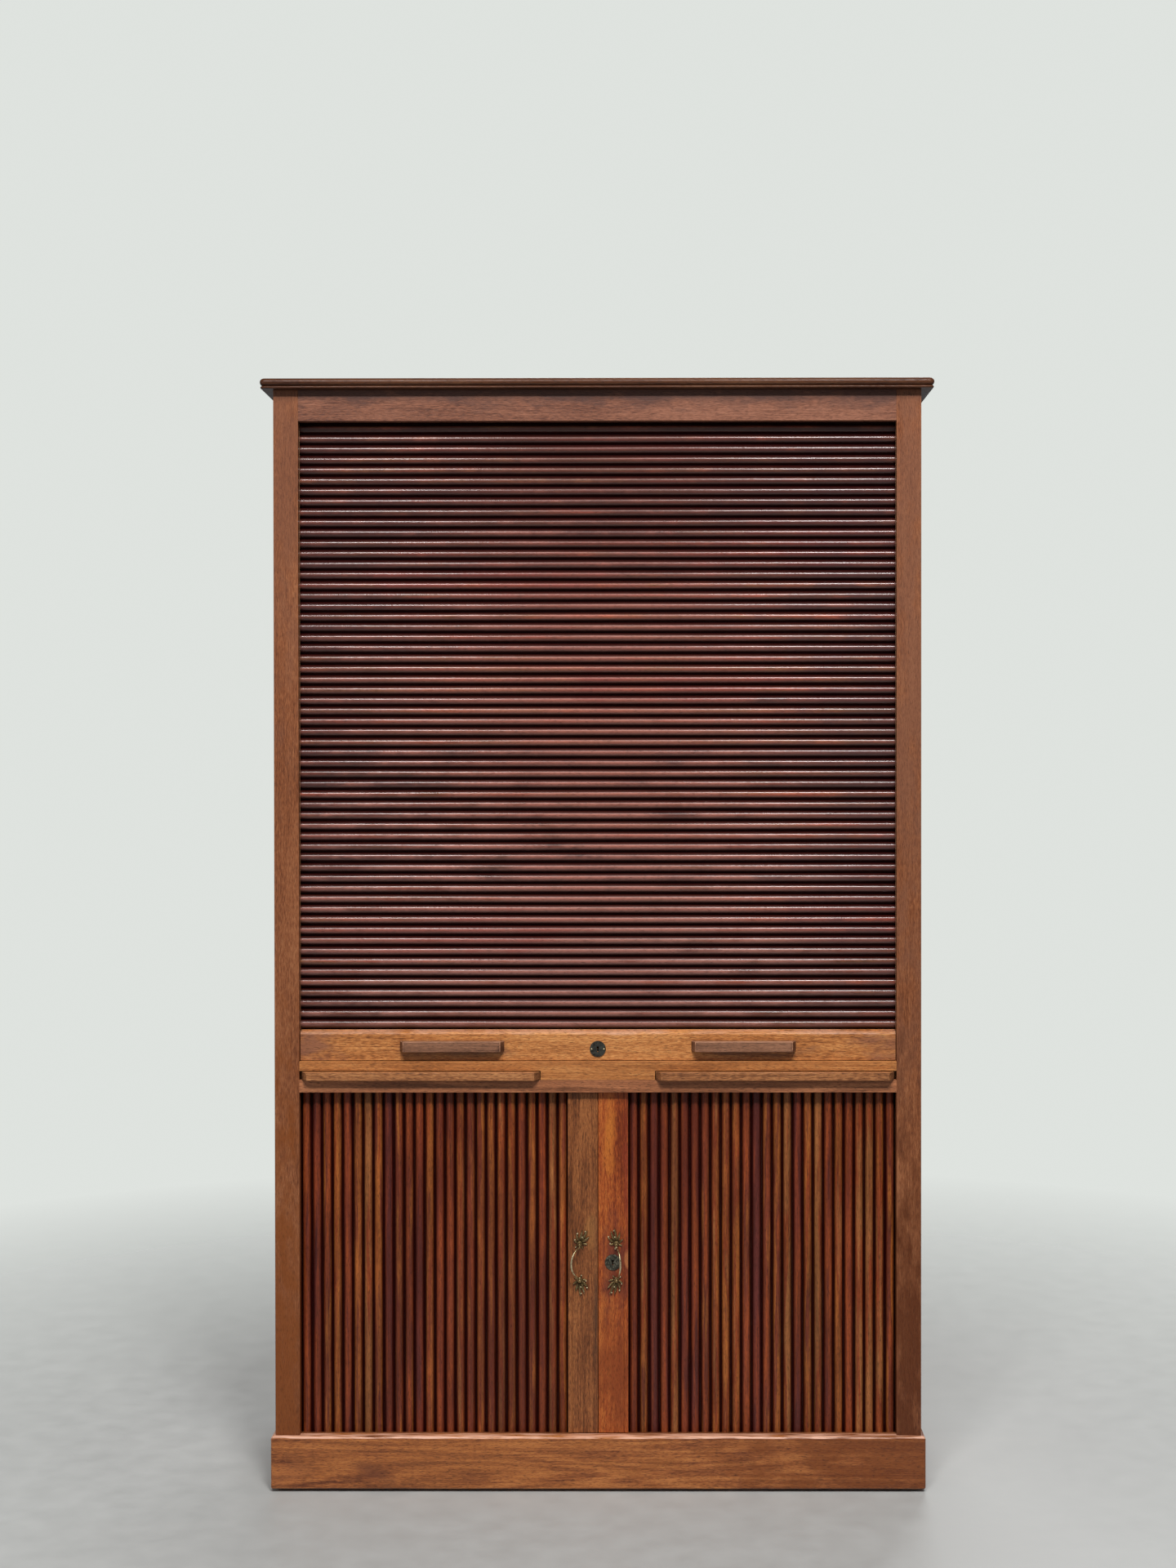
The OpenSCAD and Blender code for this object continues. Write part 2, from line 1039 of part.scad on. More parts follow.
// A lead stile with a quirk near its outer edge and tongues in the grooves
module lead_stile() {
    quirk_x = lead_w - 8;
    box([lead_in_x, crown_y, case_z - door_groove + sill_play],
        [lead_w - 14, slat_back_y, guide_z + door_groove - sill_play]);
    difference() {
        box([lead_in_x, lead_front_y, case_z + sill_play],
            [lead_w, lead_back_y, guide_z - sill_play]);
        box([quirk_x, lead_front_y - 1, case_z], [quirk_x + 1.5, lead_front_y + 1, guide_z]);
    }
}

module door_bolt_way(x_low, x_high, clear) {
    box(
        [x_low, bolt_y - clear, door_key_z - door_bolt_h / 2 - clear],
        [x_high, bolt_y + bolt_t + clear, door_key_z + door_bolt_h / 2 + clear]
    );
}

module left_lead_stile() {
    color(WOOD)
        difference() {
            mirror([1, 0, 0])
                lead_stile();
            door_bolt_way(-bolt_travel - 4, 1, 1);
        }
}

module right_lead_stile() {
    color(WOOD)
        difference() {
            lead_stile();
            door_bolt_way(-1, door_lock_x + 1, 0.5);
            box(
                [door_lock_x, lock_y, door_key_z - door_lock_h / 2],
                [door_lock_x + door_lock_w, lead_back_y + 1, door_key_z + door_lock_h / 2]
            );
            keyhole(door_key_x, door_key_z, lead_front_y - 1, lock_y + 1);
        }
}

module door_key_plate() {
    color(BLACK_METAL)
        difference() {
            translate([door_key_x, lead_front_y, door_key_z])
                rotate([90, 0, 0])
                    cylinder(r = key_plate_r, h = 1.5);
            keyhole(door_key_x, door_key_z, lead_front_y - 2, lead_front_y + 1);
        }
}

module door_lock() {
    color(BLACK_METAL)
        difference() {
            box(
                [door_lock_x + 0.5, lock_y + 0.5, door_key_z - door_lock_h / 2 + 0.5],
                [
                    door_lock_x + door_lock_w - 0.5,
                    lead_back_y,
                    door_key_z + door_lock_h / 2 - 0.5
                ]
            );
            door_bolt_way(door_lock_x, door_lock_x + 26, 0.5);
            keyhole(door_key_x, door_key_z, lock_y, bolt_y);
        }
}

module door_bolt() {
    color(BRASS)
        door_bolt_way(lead_in_x + 1, door_lock_x + 24, 0);
}

// ---- Bail handles ----

// A flat pointed leaf from the origin along +y
module leaf(length, width) {
    r = (length * length + width * width) / (4 * width);
    linear_extrude(1.8)
        intersection() {
            translate([r - width / 2, length / 2])
                circle(r = r);
            translate([width / 2 - r, length / 2])
                circle(r = r);
        }
}

// A spray of leaves round a boss, with the post that carries the bail pin.
// It faces +z here, and its long leaves point along +y.
module rosette() {
    difference() {
        union() {
            for (a = [-150 : 60 : 150])
                rotate(a)
                    translate([0, 2, 0])
                        leaf(11, 5);
            for (a = [-42, 0, 42])
                rotate(a)
                    translate([0, 4, 0.8])
                        leaf(18, 6);
            cylinder(r = 5, h = 3);
            cylinder(r = 3.2, h = post_len - 1);
            translate([0, 0, post_len])
                sphere(r = 3.6);
        }
        translate([0, 5, post_len])
            rotate([90, 0, 0])
                cylinder(r = bail_rod_r, h = 10);
    }
}

module rosette_pair() {
    color(BRASS)
        translate([handle_x, lead_front_y, 0])
            rotate([90, 0, 0]) {
                translate([0, post_top_z, 0])
                    rosette();
                translate([0, post_low_z, 0])
                    rotate(180)
                        rosette();
            }
}

module left_rosettes() {
    mirror([1, 0, 0])
        rosette_pair();
}

module right_rosettes() {
    rosette_pair();
}

// The bow of a bail, reaching out along -y from its upright axis
module bail() {
    pin_r = bail_rod_r - 0.2;
    mid_z = (post_top_z + post_low_z) / 2;
    half = (post_top_z - post_low_z) / 2 - 5;
    bow_r = (half * half + bail_reach * bail_reach) / (2 * bail_reach);
    half_turn = asin(half / bow_r);
    color(BRASS)
        translate([0, 0, mid_z]) {
            translate([0, bow_r - bail_reach, 0])
                rotate([0, -90, 0])
                    rotate([0, 0, 180 + 90 - half_turn])
                        rotate_extrude(angle = 2 * half_turn)
                            translate([bow_r, 0])
                                circle(r = bail_rod_r);
            for (side = [-1, 1]) {
                translate([0, 0, side * half])
                    sphere(r = bail_rod_r + 0.6);
                translate([0, 0, side * (half + 3.5)])
                    cylinder(r = pin_r, h = 7, center = true);
            }
        }
}

module left_bail() {
    translate([-handle_x, bail_y, 0])
        rotate(-left_swing)
            bail();
}

module right_bail() {
    translate([handle_x, bail_y, 0])
        rotate(right_swing)
            bail();
}

top_board();
top_moulding();
left_stile();
right_stile();
top_rail();
left_side();
right_side();
left_track_board();
right_track_board();
inner_top();
inner_back();
worktop();
worktop_edge();
guide_board();
outer_runners();
inner_runners();
bottom_board();
plinth_front();
plinth_left();
plinth_right();
plinth_back();
corner_blocks();
glides();
upper_back();
lower_back();
back_screws();
left_liner();
right_liner();
lower_inner_back();
upper_shelf_low();
upper_shelf_high();
lower_shelf();
shelf_pegs();
shutter_slats();
shutter_canvas();
lock_rail();
left_pull();
right_pull();
rail_key_plate();
rail_pins();
rail_lock();
rail_bolt();
rail_strike();
left_slide();
right_slide();
left_slide_lip();
right_slide_lip();
left_door_slats();
right_door_slats();
left_canvas();
right_canvas();
left_lead_stile();
right_lead_stile();
left_rosettes();
right_rosettes();
left_bail();
right_bail();
door_key_plate();
door_lock();
door_bolt();
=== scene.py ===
"""Looks of a tall roll-up shutter desk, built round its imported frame.

Units are metres, +Z is up and the front faces -Y, as in the frame. MM turns millimetres into metres.
"""
import json
import math
import random

import bmesh
import bpy
from mathutils import Matrix, Vector

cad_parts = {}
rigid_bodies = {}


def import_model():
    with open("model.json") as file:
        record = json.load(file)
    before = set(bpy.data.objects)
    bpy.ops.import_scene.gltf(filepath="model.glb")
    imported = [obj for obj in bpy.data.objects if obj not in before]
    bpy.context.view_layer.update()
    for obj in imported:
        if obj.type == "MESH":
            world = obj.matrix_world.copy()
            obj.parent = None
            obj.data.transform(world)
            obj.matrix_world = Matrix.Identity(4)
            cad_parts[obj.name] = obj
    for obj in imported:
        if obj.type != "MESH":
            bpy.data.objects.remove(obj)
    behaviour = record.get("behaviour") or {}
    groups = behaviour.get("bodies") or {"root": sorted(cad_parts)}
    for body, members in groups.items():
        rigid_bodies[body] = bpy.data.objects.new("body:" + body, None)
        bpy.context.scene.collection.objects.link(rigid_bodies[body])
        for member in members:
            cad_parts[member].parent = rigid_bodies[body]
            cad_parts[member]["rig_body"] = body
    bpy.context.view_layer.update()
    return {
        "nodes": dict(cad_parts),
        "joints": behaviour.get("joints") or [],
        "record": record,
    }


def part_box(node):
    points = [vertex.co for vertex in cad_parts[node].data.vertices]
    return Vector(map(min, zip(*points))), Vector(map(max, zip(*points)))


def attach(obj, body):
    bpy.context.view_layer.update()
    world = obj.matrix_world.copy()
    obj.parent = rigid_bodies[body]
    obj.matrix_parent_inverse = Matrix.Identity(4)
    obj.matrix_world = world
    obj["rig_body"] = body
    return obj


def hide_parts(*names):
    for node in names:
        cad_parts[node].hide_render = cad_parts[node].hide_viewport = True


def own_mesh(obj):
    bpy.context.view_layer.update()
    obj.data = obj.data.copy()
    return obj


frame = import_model()
MM = 0.001
X, Y, Z = 0, 1, 2


# ---- Materials ----

class Nodes:
    """A material's node tree, with short calls for the nodes that the materials below are made of."""

    def __init__(self, name, grain=Z):
        self.material = bpy.data.materials.new(name)
        self.material.use_nodes = True
        self.tree = self.material.node_tree
        self.shader = self.tree.nodes["Principled BSDF"]
        self.grain = grain
        self.place = self.add("ShaderNodeTexCoord").outputs["Object"]

    def add(self, kind, inputs=(), **settings):
        node = self.tree.nodes.new(kind)
        for key, value in settings.items():
            setattr(node, key, value)
        for key, value in dict(inputs).items():
            self.feed(node.inputs[key], value)
        return node

    def feed(self, socket, value):
        if isinstance(value, bpy.types.NodeSocket):
            self.tree.links.new(value, socket)
        else:
            socket.default_value = value

    def calc(self, operation, a, b=0.0, clamp=False):
        return self.add("ShaderNodeMath", {0: a, 1: b}, operation=operation, use_clamp=clamp).outputs[0]

    def span(self, value, low, high, to_low=0.0, to_high=1.0):
        """The value's stretch from low to high, as a stretch from to_low to to_high."""
        inputs = {"Value": value, "From Min": low, "From Max": high, "To Min": to_low, "To Max": to_high}
        return self.add("ShaderNodeMapRange", inputs).outputs["Result"]

    def cells(self, across, along, detail=2.0, shift=0.0):
        """Noise whose patches measure this many millimetres across and along the grain."""
        scale = [1 / (across * MM)] * 3
        scale[self.grain] = 1 / (along * MM)
        inputs = {"Vector": self.place, "Scale": scale, "Location": [shift, 1.7 * shift, 2.3 * shift]}
        mapping = self.add("ShaderNodeMapping", inputs)
        inputs = {"Vector": mapping.outputs[0], "Scale": 1.0, "Detail": detail, "Roughness": 0.55}
        return self.add("ShaderNodeTexNoise", inputs).outputs[0]

    def warp(self, amount, across, along):
        """Bends everything that is drawn after it by this many millimetres."""
        sideways = self.span(self.cells(across, along, 1.0, 5.0), 0.0, 1.0, -amount * MM, amount * MM)
        parts = [sideways] * 3
        parts[self.grain] = 0.0
        vector = self.add("ShaderNodeCombineXYZ", dict(enumerate(parts))).outputs[0]
        self.place = self.add("ShaderNodeVectorMath", {0: self.place, 1: vector}, operation="ADD").outputs[0]

    def ramp(self, value, colours):
        """Colours spread evenly over 0 to 1."""
        node = self.add("ShaderNodeValToRGB", {0: value})
        stops = node.color_ramp.elements
        while len(stops) < len(colours):
            stops.new(0.5)
        for i, colour in enumerate(colours):
            stops[i].position = i / (len(colours) - 1)
            stops[i].color = (*colour, 1.0)
        return node.outputs[0]

    def mix(self, share, a, b, blend="MIX"):
        inputs = {0: share, 6: a if isinstance(a, bpy.types.NodeSocket) else (*a, 1.0)}
        inputs[7] = b if isinstance(b, bpy.types.NodeSocket) else (*b, 1.0)
        return self.add("ShaderNodeMix", inputs, data_type="RGBA", blend_type=blend).outputs[2]

    def attribute(self, name):
        return self.add("ShaderNodeAttribute", attribute_name=name).outputs["Fac"]

    def spot(self, centre, radii, ragged=0.5):
        """1 in the middle of an ellipsoid and 0 outside it, with a ragged edge."""
        inputs = {0: self.place, 1: [-c for c in centre]}
        offset = self.add("ShaderNodeVectorMath", inputs, operation="ADD").outputs[0]
        inputs = {0: offset, 1: [1 / r for r in radii]}
        scaled = self.add("ShaderNodeVectorMath", inputs, operation="MULTIPLY").outputs[0]
        far = self.add("ShaderNodeVectorMath", {0: scaled}, operation="LENGTH").outputs["Value"]
        torn = self.calc("ADD", far, self.span(self.cells(24, 60, 3.0, 9.0), 0.3, 0.7, -ragged, ragged))
        return self.span(torn, 1.0, 0.25)

    def finish(self, colour, roughness, height, relief, **others):
        """Feeds the shader. The others go onto its sockets, by name with _ for a space."""
        self.feed(self.shader.inputs["Base Color"], colour)
        self.feed(self.shader.inputs["Roughness"], roughness)
        inputs = {"Height": height, "Strength": 1.0, "Distance": relief * MM}
        self.feed(self.shader.inputs["Normal"], self.add("ShaderNodeBump", inputs).outputs[0])
        for key, value in others.items():
            self.feed(self.shader.inputs[key.replace("_", " ")], value)
        return self.material


def shade(colour, by):
    return tuple(c * by for c in colour)


# Colours painted as shade on the slats' lower and upper flanks.
LOWER_FLANK_SHADE = (0.030, 0.006, 0.005)
UPPER_FLANK_SHADE = (0.015, 0.003, 0.0025)


def wood(name, tones, grain=Z, figure=0.35, streak=0.5, blotch=0.6, pores=0.6, fleck=0.3,
         gloss=0.42, coat=0.1, spots=(), palette=None, rings=8.0, seed=0.0, edge=0.35,
         flank_shade=0.0, coat_blur=0.2, wear_and_highlight_tone=None, valley_shade=(0.020, 0.0005, 0.0003)):
    """Varnished hardwood. tones run from its darkest to its lightest; palette colours single slats.

    figure, streak, blotch, pores and fleck say how strong the growth rings, the fibres, the clouds,
    the pores and the flecks are. gloss is the wood's own roughness, and coat_blur that of its varnish.
    spots are (centre, radii, colour, share) patches, in metres: stains, and in places a painted shadow,
    shade or highlight. edge is how much of wear_and_highlight_tone shows on rounded edges, as wear and as a
    painted highlight. On slats, flank_shade is how dark the shade painted on their flanks is, and
    valley_shade is the colour painted as shade in the valleys between them.
    """
    n = Nodes(name, grain)
    n.warp(5, 120, 420)
    growth = n.cells(55, 900, 1.5, 11 + seed)
    lines = n.calc("SINE", n.calc("MULTIPLY", growth, rings * 2 * math.pi))
    broad = n.cells(110, 420, 4.0, 3 + seed)
    fibre = n.cells(2.6, 120, 3.0, 7 + seed)
    speck = n.cells(1.7, 11, 2.0, 13 + seed)
    pore = n.span(n.cells(0.8, 8, 1.0, 17 + seed), 0.56, 0.66)
    tone = n.calc("MULTIPLY", lines, figure * 0.3)
    for value, share in ((broad, blotch * 2.6), (fibre, streak * 2.2), (speck, fleck * 3.0)):
        centred = n.calc("MULTIPLY", n.calc("SUBTRACT", value, 0.5), share)
        tone = n.calc("ADD", tone, centred)
    tone = n.calc("ADD", tone, 0.5, clamp=True)
    colour = n.ramp(tone, tones)
    if palette:
        drift = n.span(n.cells(9, 190, 2.0, 21 + seed), 0.25, 0.75, -0.27, 0.27)
        pick = n.calc("ADD", n.attribute("tone"), drift, clamp=True)
        grain_tone = n.ramp(tone, [(0.45,) * 3, (1.0,) * 3, (1.6,) * 3])
        colour = n.mix(1.0, n.ramp(pick, palette), grain_tone, "MULTIPLY")
    for centre, radii, stain, share in spots:
        colour = n.mix(n.calc("MULTIPLY", n.spot(centre, radii), share), colour, stain)
    colour = n.mix(n.calc("MULTIPLY", pore, pores), colour, shade(tones[0], 0.35))
    # Rounded edges get a lighter colour broken up by noise: wear on most boards, and a painted highlight on the
    # plinth's and the lock rail's top edges.
    wear_and_highlight = n.calc("MULTIPLY", n.attribute("edge"), n.span(n.cells(6, 60, 2.0, 31), 0.35, 0.6))
    colour = n.mix(n.calc("MULTIPLY", wear_and_highlight, edge), colour, wear_and_highlight_tone or shade(tones[-1], 1.25))
    shine, depth = (0.12, 0.05) if palette else (0.3, 0.16)
    if palette:
        # proud is 1 on a slat's crown and 0 down in the valleys, where the valley_shade colour is painted as shade;
        # the varnish coat thins there too.
        proud = n.span(n.attribute("rise"), 0.36, 0.95)
        flank = n.attribute("flank")
        # Shade painted on the slats' lower and upper flanks, darker below the crown and above the highlight.
        colour = n.mix(n.span(flank, -0.7, 0.35, flank_shade, 0.0), colour, LOWER_FLANK_SHADE)
        colour = n.mix(n.span(flank, 0.26, 0.47, 0.0, flank_shade), colour, UPPER_FLANK_SHADE)
        colour = n.mix(proud, valley_shade, colour)
        coat = n.calc("MULTIPLY", proud, coat)
    matt = n.calc("ADD", n.span(broad, 0.3, 0.7, gloss - 0.05, gloss + 0.09), n.calc("MULTIPLY", pore, 0.2))
    relief = n.calc("ADD", n.calc("MULTIPLY", pore, -0.6), n.calc("ADD", fibre, n.calc("MULTIPLY", speck, 0.4)))
    return n.finish(colour, matt, relief, depth, Coat_Weight=coat, Coat_Roughness=coat_blur,
                    Specular_IOR_Level=shine)


def brass_metal():
    """Antique brass, bright where it stands proud and dark in its hollows."""
    n = Nodes("antique_brass")
    cloud = n.cells(3, 3, 4.0)
    scratch = n.cells(0.4, 5, 2.0, 4)
    high = n.calc("ADD", n.attribute("rise"), n.span(cloud, 0.35, 0.65, -0.15, 0.15), clamp=True)
    colour = n.ramp(high, [(0.022, 0.014, 0.007), (0.10, 0.062, 0.026), (0.33, 0.23, 0.10), (0.82, 0.72, 0.46)])
    rough = n.span(cloud, 0.3, 0.7, 0.26, 0.5)
    return n.finish(colour, rough, n.calc("ADD", cloud, n.calc("MULTIPLY", scratch, 0.4)), 0.12, Metallic=0.9)


def worn_metal(name, dark, light, roughness, metallic=0.8, mark=(0.35, 7, 0.62)):
    """A dull patinated metal with bright scratches. mark gives their width, length and threshold."""
    n = Nodes(name)
    cloud = n.cells(6, 6, 4.0)
    across, along, above = mark
    scratch = n.span(n.cells(across, along, 2.0, 3), above, above + 0.08)
    colour = n.mix(n.span(cloud, 0.35, 0.7), dark, light)
    colour = n.mix(n.calc("MULTIPLY", scratch, 0.6), colour, shade(light, 2.4))
    rough = n.span(cloud, 0.3, 0.7, roughness - 0.08, roughness + 0.12)
    return n.finish(colour, rough, n.calc("SUBTRACT", cloud, scratch), 0.1, Metallic=metallic)


def canvas_cloth():
    """Coarse linen canvas with a plain weave and smears of glue."""
    n = Nodes("linen_canvas")
    x, y, z = n.add("ShaderNodeSeparateXYZ", {0: n.place}).outputs
    thread = math.pi / (0.9 * MM)
    weft = n.calc("SINE", n.calc("MULTIPLY", n.calc("ADD", x, y), thread))
    warp = n.calc("SINE", n.calc("MULTIPLY", z, thread))
    weave = n.calc("MULTIPLY", weft, warp)
    slub = n.cells(1.2, 14, 3.0)
    glue = n.span(n.cells(30, 50, 3.0, 8), 0.52, 0.62)
    tone = n.calc("ADD", n.span(weave, -1.0, 1.0, 0.0, 0.55), n.calc("MULTIPLY", slub, 0.5), clamp=True)
    colour = n.ramp(tone, [(0.10, 0.075, 0.045), (0.26, 0.20, 0.13), (0.40, 0.33, 0.23)])
    colour = n.mix(n.calc("MULTIPLY", glue, 0.6), colour, (0.12, 0.08, 0.04))
    return n.finish(colour, n.span(glue, 0.0, 1.0, 0.9, 0.55), weave, 0.25)


RED_SLATS = [(0.132, 0.049, 0.038), (0.225, 0.064, 0.043), (0.185, 0.072, 0.043), (0.300, 0.069, 0.043),
             (0.200, 0.080, 0.037), (0.360, 0.086, 0.046)]
DOOR_SLATS = [(0.085, 0.018, 0.014), (0.170, 0.032, 0.013), (0.240, 0.050, 0.013), (0.125, 0.025, 0.013),
              (0.290, 0.086, 0.018), (0.190, 0.034, 0.010), (0.245, 0.086, 0.026)]
CASE = [(0.095, 0.026, 0.009), (0.219, 0.071, 0.026), (0.321, 0.125, 0.051)]
PLINTH = [(0.130, 0.031, 0.007), (0.320, 0.096, 0.022), (0.480, 0.170, 0.044)]
RAIL_TONES = [(0.088, 0.032, 0.020), (0.210, 0.082, 0.047), (0.300, 0.126, 0.075)]
GOLD = [(0.206, 0.065, 0.018), (0.474, 0.175, 0.050), (0.659, 0.300, 0.100)]
LIP = [(0.144, 0.050, 0.019), (0.346, 0.135, 0.049), (0.499, 0.225, 0.086)]
PULL = [(0.102, 0.046, 0.026), (0.249, 0.113, 0.063), (0.385, 0.190, 0.109)]
DARK_RAIL = [(0.140, 0.049, 0.021), (0.312, 0.114, 0.049), (0.485, 0.190, 0.083)]
LEFT_LEAD = [(0.080, 0.025, 0.008), (0.200, 0.062, 0.019), (0.340, 0.121, 0.037)]
RIGHT_LEAD = [(0.156, 0.025, 0.006), (0.340, 0.071, 0.014), (0.478, 0.134, 0.027)]
INSIDE = [(0.27, 0.15, 0.065), (0.42, 0.26, 0.13), (0.55, 0.37, 0.20)]
# Colour of the shadow painted under the lock rail's pulls.
PULL_SHADOW = (0.15, 0.075, 0.048)
RED_STAIN = (0.26, 0.038, 0.028)
PURPLE_STAIN = (0.075, 0.030, 0.030)
# Colour painted as shade on the bevelled ends of the pulls and the slide lips.
END_SHADE = (0.045, 0.014, 0.009)
# A light gold painted as a highlight on the lock rail's rounded edges, broken up like wear.
WORN_GOLD_HIGHLIGHT = (0.62, 0.33, 0.22)

# Stains are (centre, radii, colour, share) and follow the photo's lighter and darker regions.
SHUTTER_STAINS = [
    ((-0.56, -0.18, 1.42), (0.36, 0.1, 0.85), PURPLE_STAIN, 0.5),
    ((0.05, -0.18, 1.85), (1.00, 0.1, 0.46), (0.075, 0.024, 0.020), 0.7),
    ((-0.05, -0.18, 0.98), (0.70, 0.1, 0.32), (0.40, 0.160, 0.122), 0.85),
    ((-0.02, -0.18, 1.36), (0.52, 0.1, 0.40), (0.40, 0.135, 0.095), 0.65),
    ((0.44, -0.18, 1.84), (0.30, 0.1, 0.26), (0.070, 0.022, 0.019), 0.5),
    ((0.42, -0.18, 1.69), (0.34, 0.1, 0.06), RED_STAIN, 0.45),
    ((0.20, -0.18, 1.44), (0.40, 0.1, 0.04), RED_STAIN, 0.5),
    ((-0.20, -0.18, 1.63), (0.34, 0.1, 0.03), RED_STAIN, 0.5),
    ((-0.25, -0.18, 0.99), (0.30, 0.1, 0.05), RED_STAIN, 0.5),
    ((0.50, -0.18, 1.02), (0.25, 0.1, 0.05), RED_STAIN, 0.45),
    ((0.54, -0.18, 1.40), (0.22, 0.1, 0.75), PURPLE_STAIN, 0.6),
]
LEFT_LEAD_STAINS = [
    ((-0.015, -0.195, 0.455), (0.010, 0.03, 0.040), (0.36, 0.155, 0.045), 0.5),
    ((-0.006, -0.195, 0.340), (0.008, 0.03, 0.150), (0.09, 0.038, 0.018), 0.6),
]
RIGHT_LEAD_STAINS = [
    ((0.027, -0.195, 0.20), (0.06, 0.05, 0.14), (0.22, 0.044, 0.009), 0.8),
    ((0.024, -0.195, 0.640), (0.016, 0.03, 0.070), (0.50, 0.150, 0.022), 0.8),
    ((0.034, -0.195, 0.405), (0.034, 0.03, 0.105), (0.13, 0.028, 0.017), 0.85),
    ((0.051, -0.195, 0.412), (0.006, 0.03, 0.018), (0.60, 0.230, 0.075), 0.8),
    ((0.050, -0.195, 0.560), (0.008, 0.03, 0.180), (0.22, 0.032, 0.014), 0.7),
]
# A shadow painted across the top rail's upper band, below the moulding.
TOP_RAIL_SHADOW = [((0.0, -0.2, 1.966), (2.0, 0.1, 0.030), (0.080, 0.037, 0.029), 0.8)]
DOOR_STAINS = [
    ((-0.18, -0.19, 0.32), (0.30, 0.1, 0.50), (0.105, 0.019, 0.010), 0.5),
    ((0.16, -0.19, 0.62), (0.16, 0.1, 0.20), (0.105, 0.019, 0.010), 0.45),
]
CASE_STAINS = [
    ((-0.560, -0.2, 1.90), (0.06, 0.1, 0.60), (0.17, 0.065, 0.034), 0.6),
    ((0.560, -0.2, 1.55), (0.06, 0.1, 0.95), (0.18, 0.074, 0.042), 0.6),
    ((0.560, -0.2, 0.25), (0.06, 0.1, 0.50), (0.085, 0.017, 0.001), 0.8),
    ((-0.560, -0.2, 0.20), (0.06, 0.1, 0.60), (0.20, 0.052, 0.008), 0.8),
]
PLINTH_STAINS = [
    ((0.560, -0.21, 0.05), (0.50, 0.1, 0.30), (0.17, 0.038, 0.002), 0.7),
    ((-0.250, -0.21, 0.05), (0.40, 0.1, 0.10), (0.42, 0.140, 0.030), 0.35),
    ((-0.400, -0.21, 0.03), (0.05, 0.1, 0.03), (0.13, 0.034, 0.012), 0.6),
    ((-0.555, -0.21, 0.03), (0.04, 0.1, 0.03), (0.42, 0.140, 0.040), 0.5),
]

case_z_wood = wood("case_wood_upright", CASE, Z, figure=0.15, streak=0.35, blotch=0.4, fleck=0.5, pores=0.35,
                   spots=CASE_STAINS, seed=1)
case_x_wood = wood("case_wood_level", CASE, X, figure=0.3, seed=2)
case_y_wood = wood("case_wood_deep", CASE, Y, figure=0.3, seed=3)
top_wood = wood("top_wood", [shade(t, 0.36) for t in CASE], X, figure=0.3, seed=4, gloss=0.35)
rail_wood = wood("top_rail_wood", RAIL_TONES, X, figure=0.2, streak=0.4, blotch=0.5, fleck=0.5, seed=5, pores=0.4,
                 spots=TOP_RAIL_SHADOW)
# The plinth's rounded top gets a pale colour painted as a highlight, broken up like wear.
plinth_look = {"figure": 0.8, "blotch": 0.55, "streak": 0.7, "fleck": 0.5, "rings": 10, "coat": 0.5,
               "spots": PLINTH_STAINS, "edge": 0.9, "wear_and_highlight_tone": (0.76, 0.42, 0.29)}
plinth_x_wood = wood("plinth_wood_level", PLINTH, X, seed=6, **plinth_look)
plinth_y_wood = wood("plinth_wood_deep", PLINTH, Y, seed=7, **plinth_look)
inner_look = {"gloss": 0.6, "coat": 0.0, "pores": 0.4}
inner_x_wood = wood("inner_wood_level", INSIDE, X, seed=8, **inner_look)
inner_y_wood = wood("inner_wood_deep", INSIDE, Y, seed=9, **inner_look)
inner_z_wood = wood("inner_wood_upright", INSIDE, Z, seed=10, **inner_look)
edge_wood = wood("worktop_wood", [shade(t, 0.92) for t in GOLD], X, figure=0.3, blotch=0.4, seed=11)
dark_rail_wood = wood("guide_wood", DARK_RAIL, X, figure=0.5, blotch=0.6, seed=14)
left_lead_wood = wood("left_lead_wood", LEFT_LEAD, Z, figure=0.4, streak=0.7, blotch=0.6, fleck=0.5,
                      spots=LEFT_LEAD_STAINS, seed=15)
right_lead_wood = wood("right_lead_wood", RIGHT_LEAD, Z, figure=0.4, streak=0.5, blotch=0.8, fleck=0.6,
                       spots=RIGHT_LEAD_STAINS, seed=16, rings=11)
slat_wood = wood("shutter_wood", CASE, X, palette=RED_SLATS, gloss=0.34, coat=1.0, pores=0.5,
                 flank_shade=0.85, valley_shade=(0.024, 0.0008, 0.0006), spots=SHUTTER_STAINS, seed=17)
door_wood = wood("door_wood", CASE, Z, palette=DOOR_SLATS, gloss=0.38, coat=0.3, spots=DOOR_STAINS, seed=18,
                 pores=0.6)
brass = brass_metal()
plate_metal = worn_metal("dark_metal", (0.030, 0.030, 0.025), (0.11, 0.105, 0.088), 0.45)
chased_metal = worn_metal("chased_metal", (0.034, 0.034, 0.026), (0.13, 0.12, 0.09), 0.4, mark=(1.7, 3.2, 0.53))
steel = worn_metal("dull_steel", (0.18, 0.175, 0.165), (0.36, 0.35, 0.33), 0.42, 1.0)
canvas = canvas_cloth()


# ---- Mesh tools ----

WELD = 0.01 * MM
FLAT_UNDER = math.radians(0.4)
GENTLE = math.radians(1), math.radians(28)
SHARP_OVER = math.radians(35)


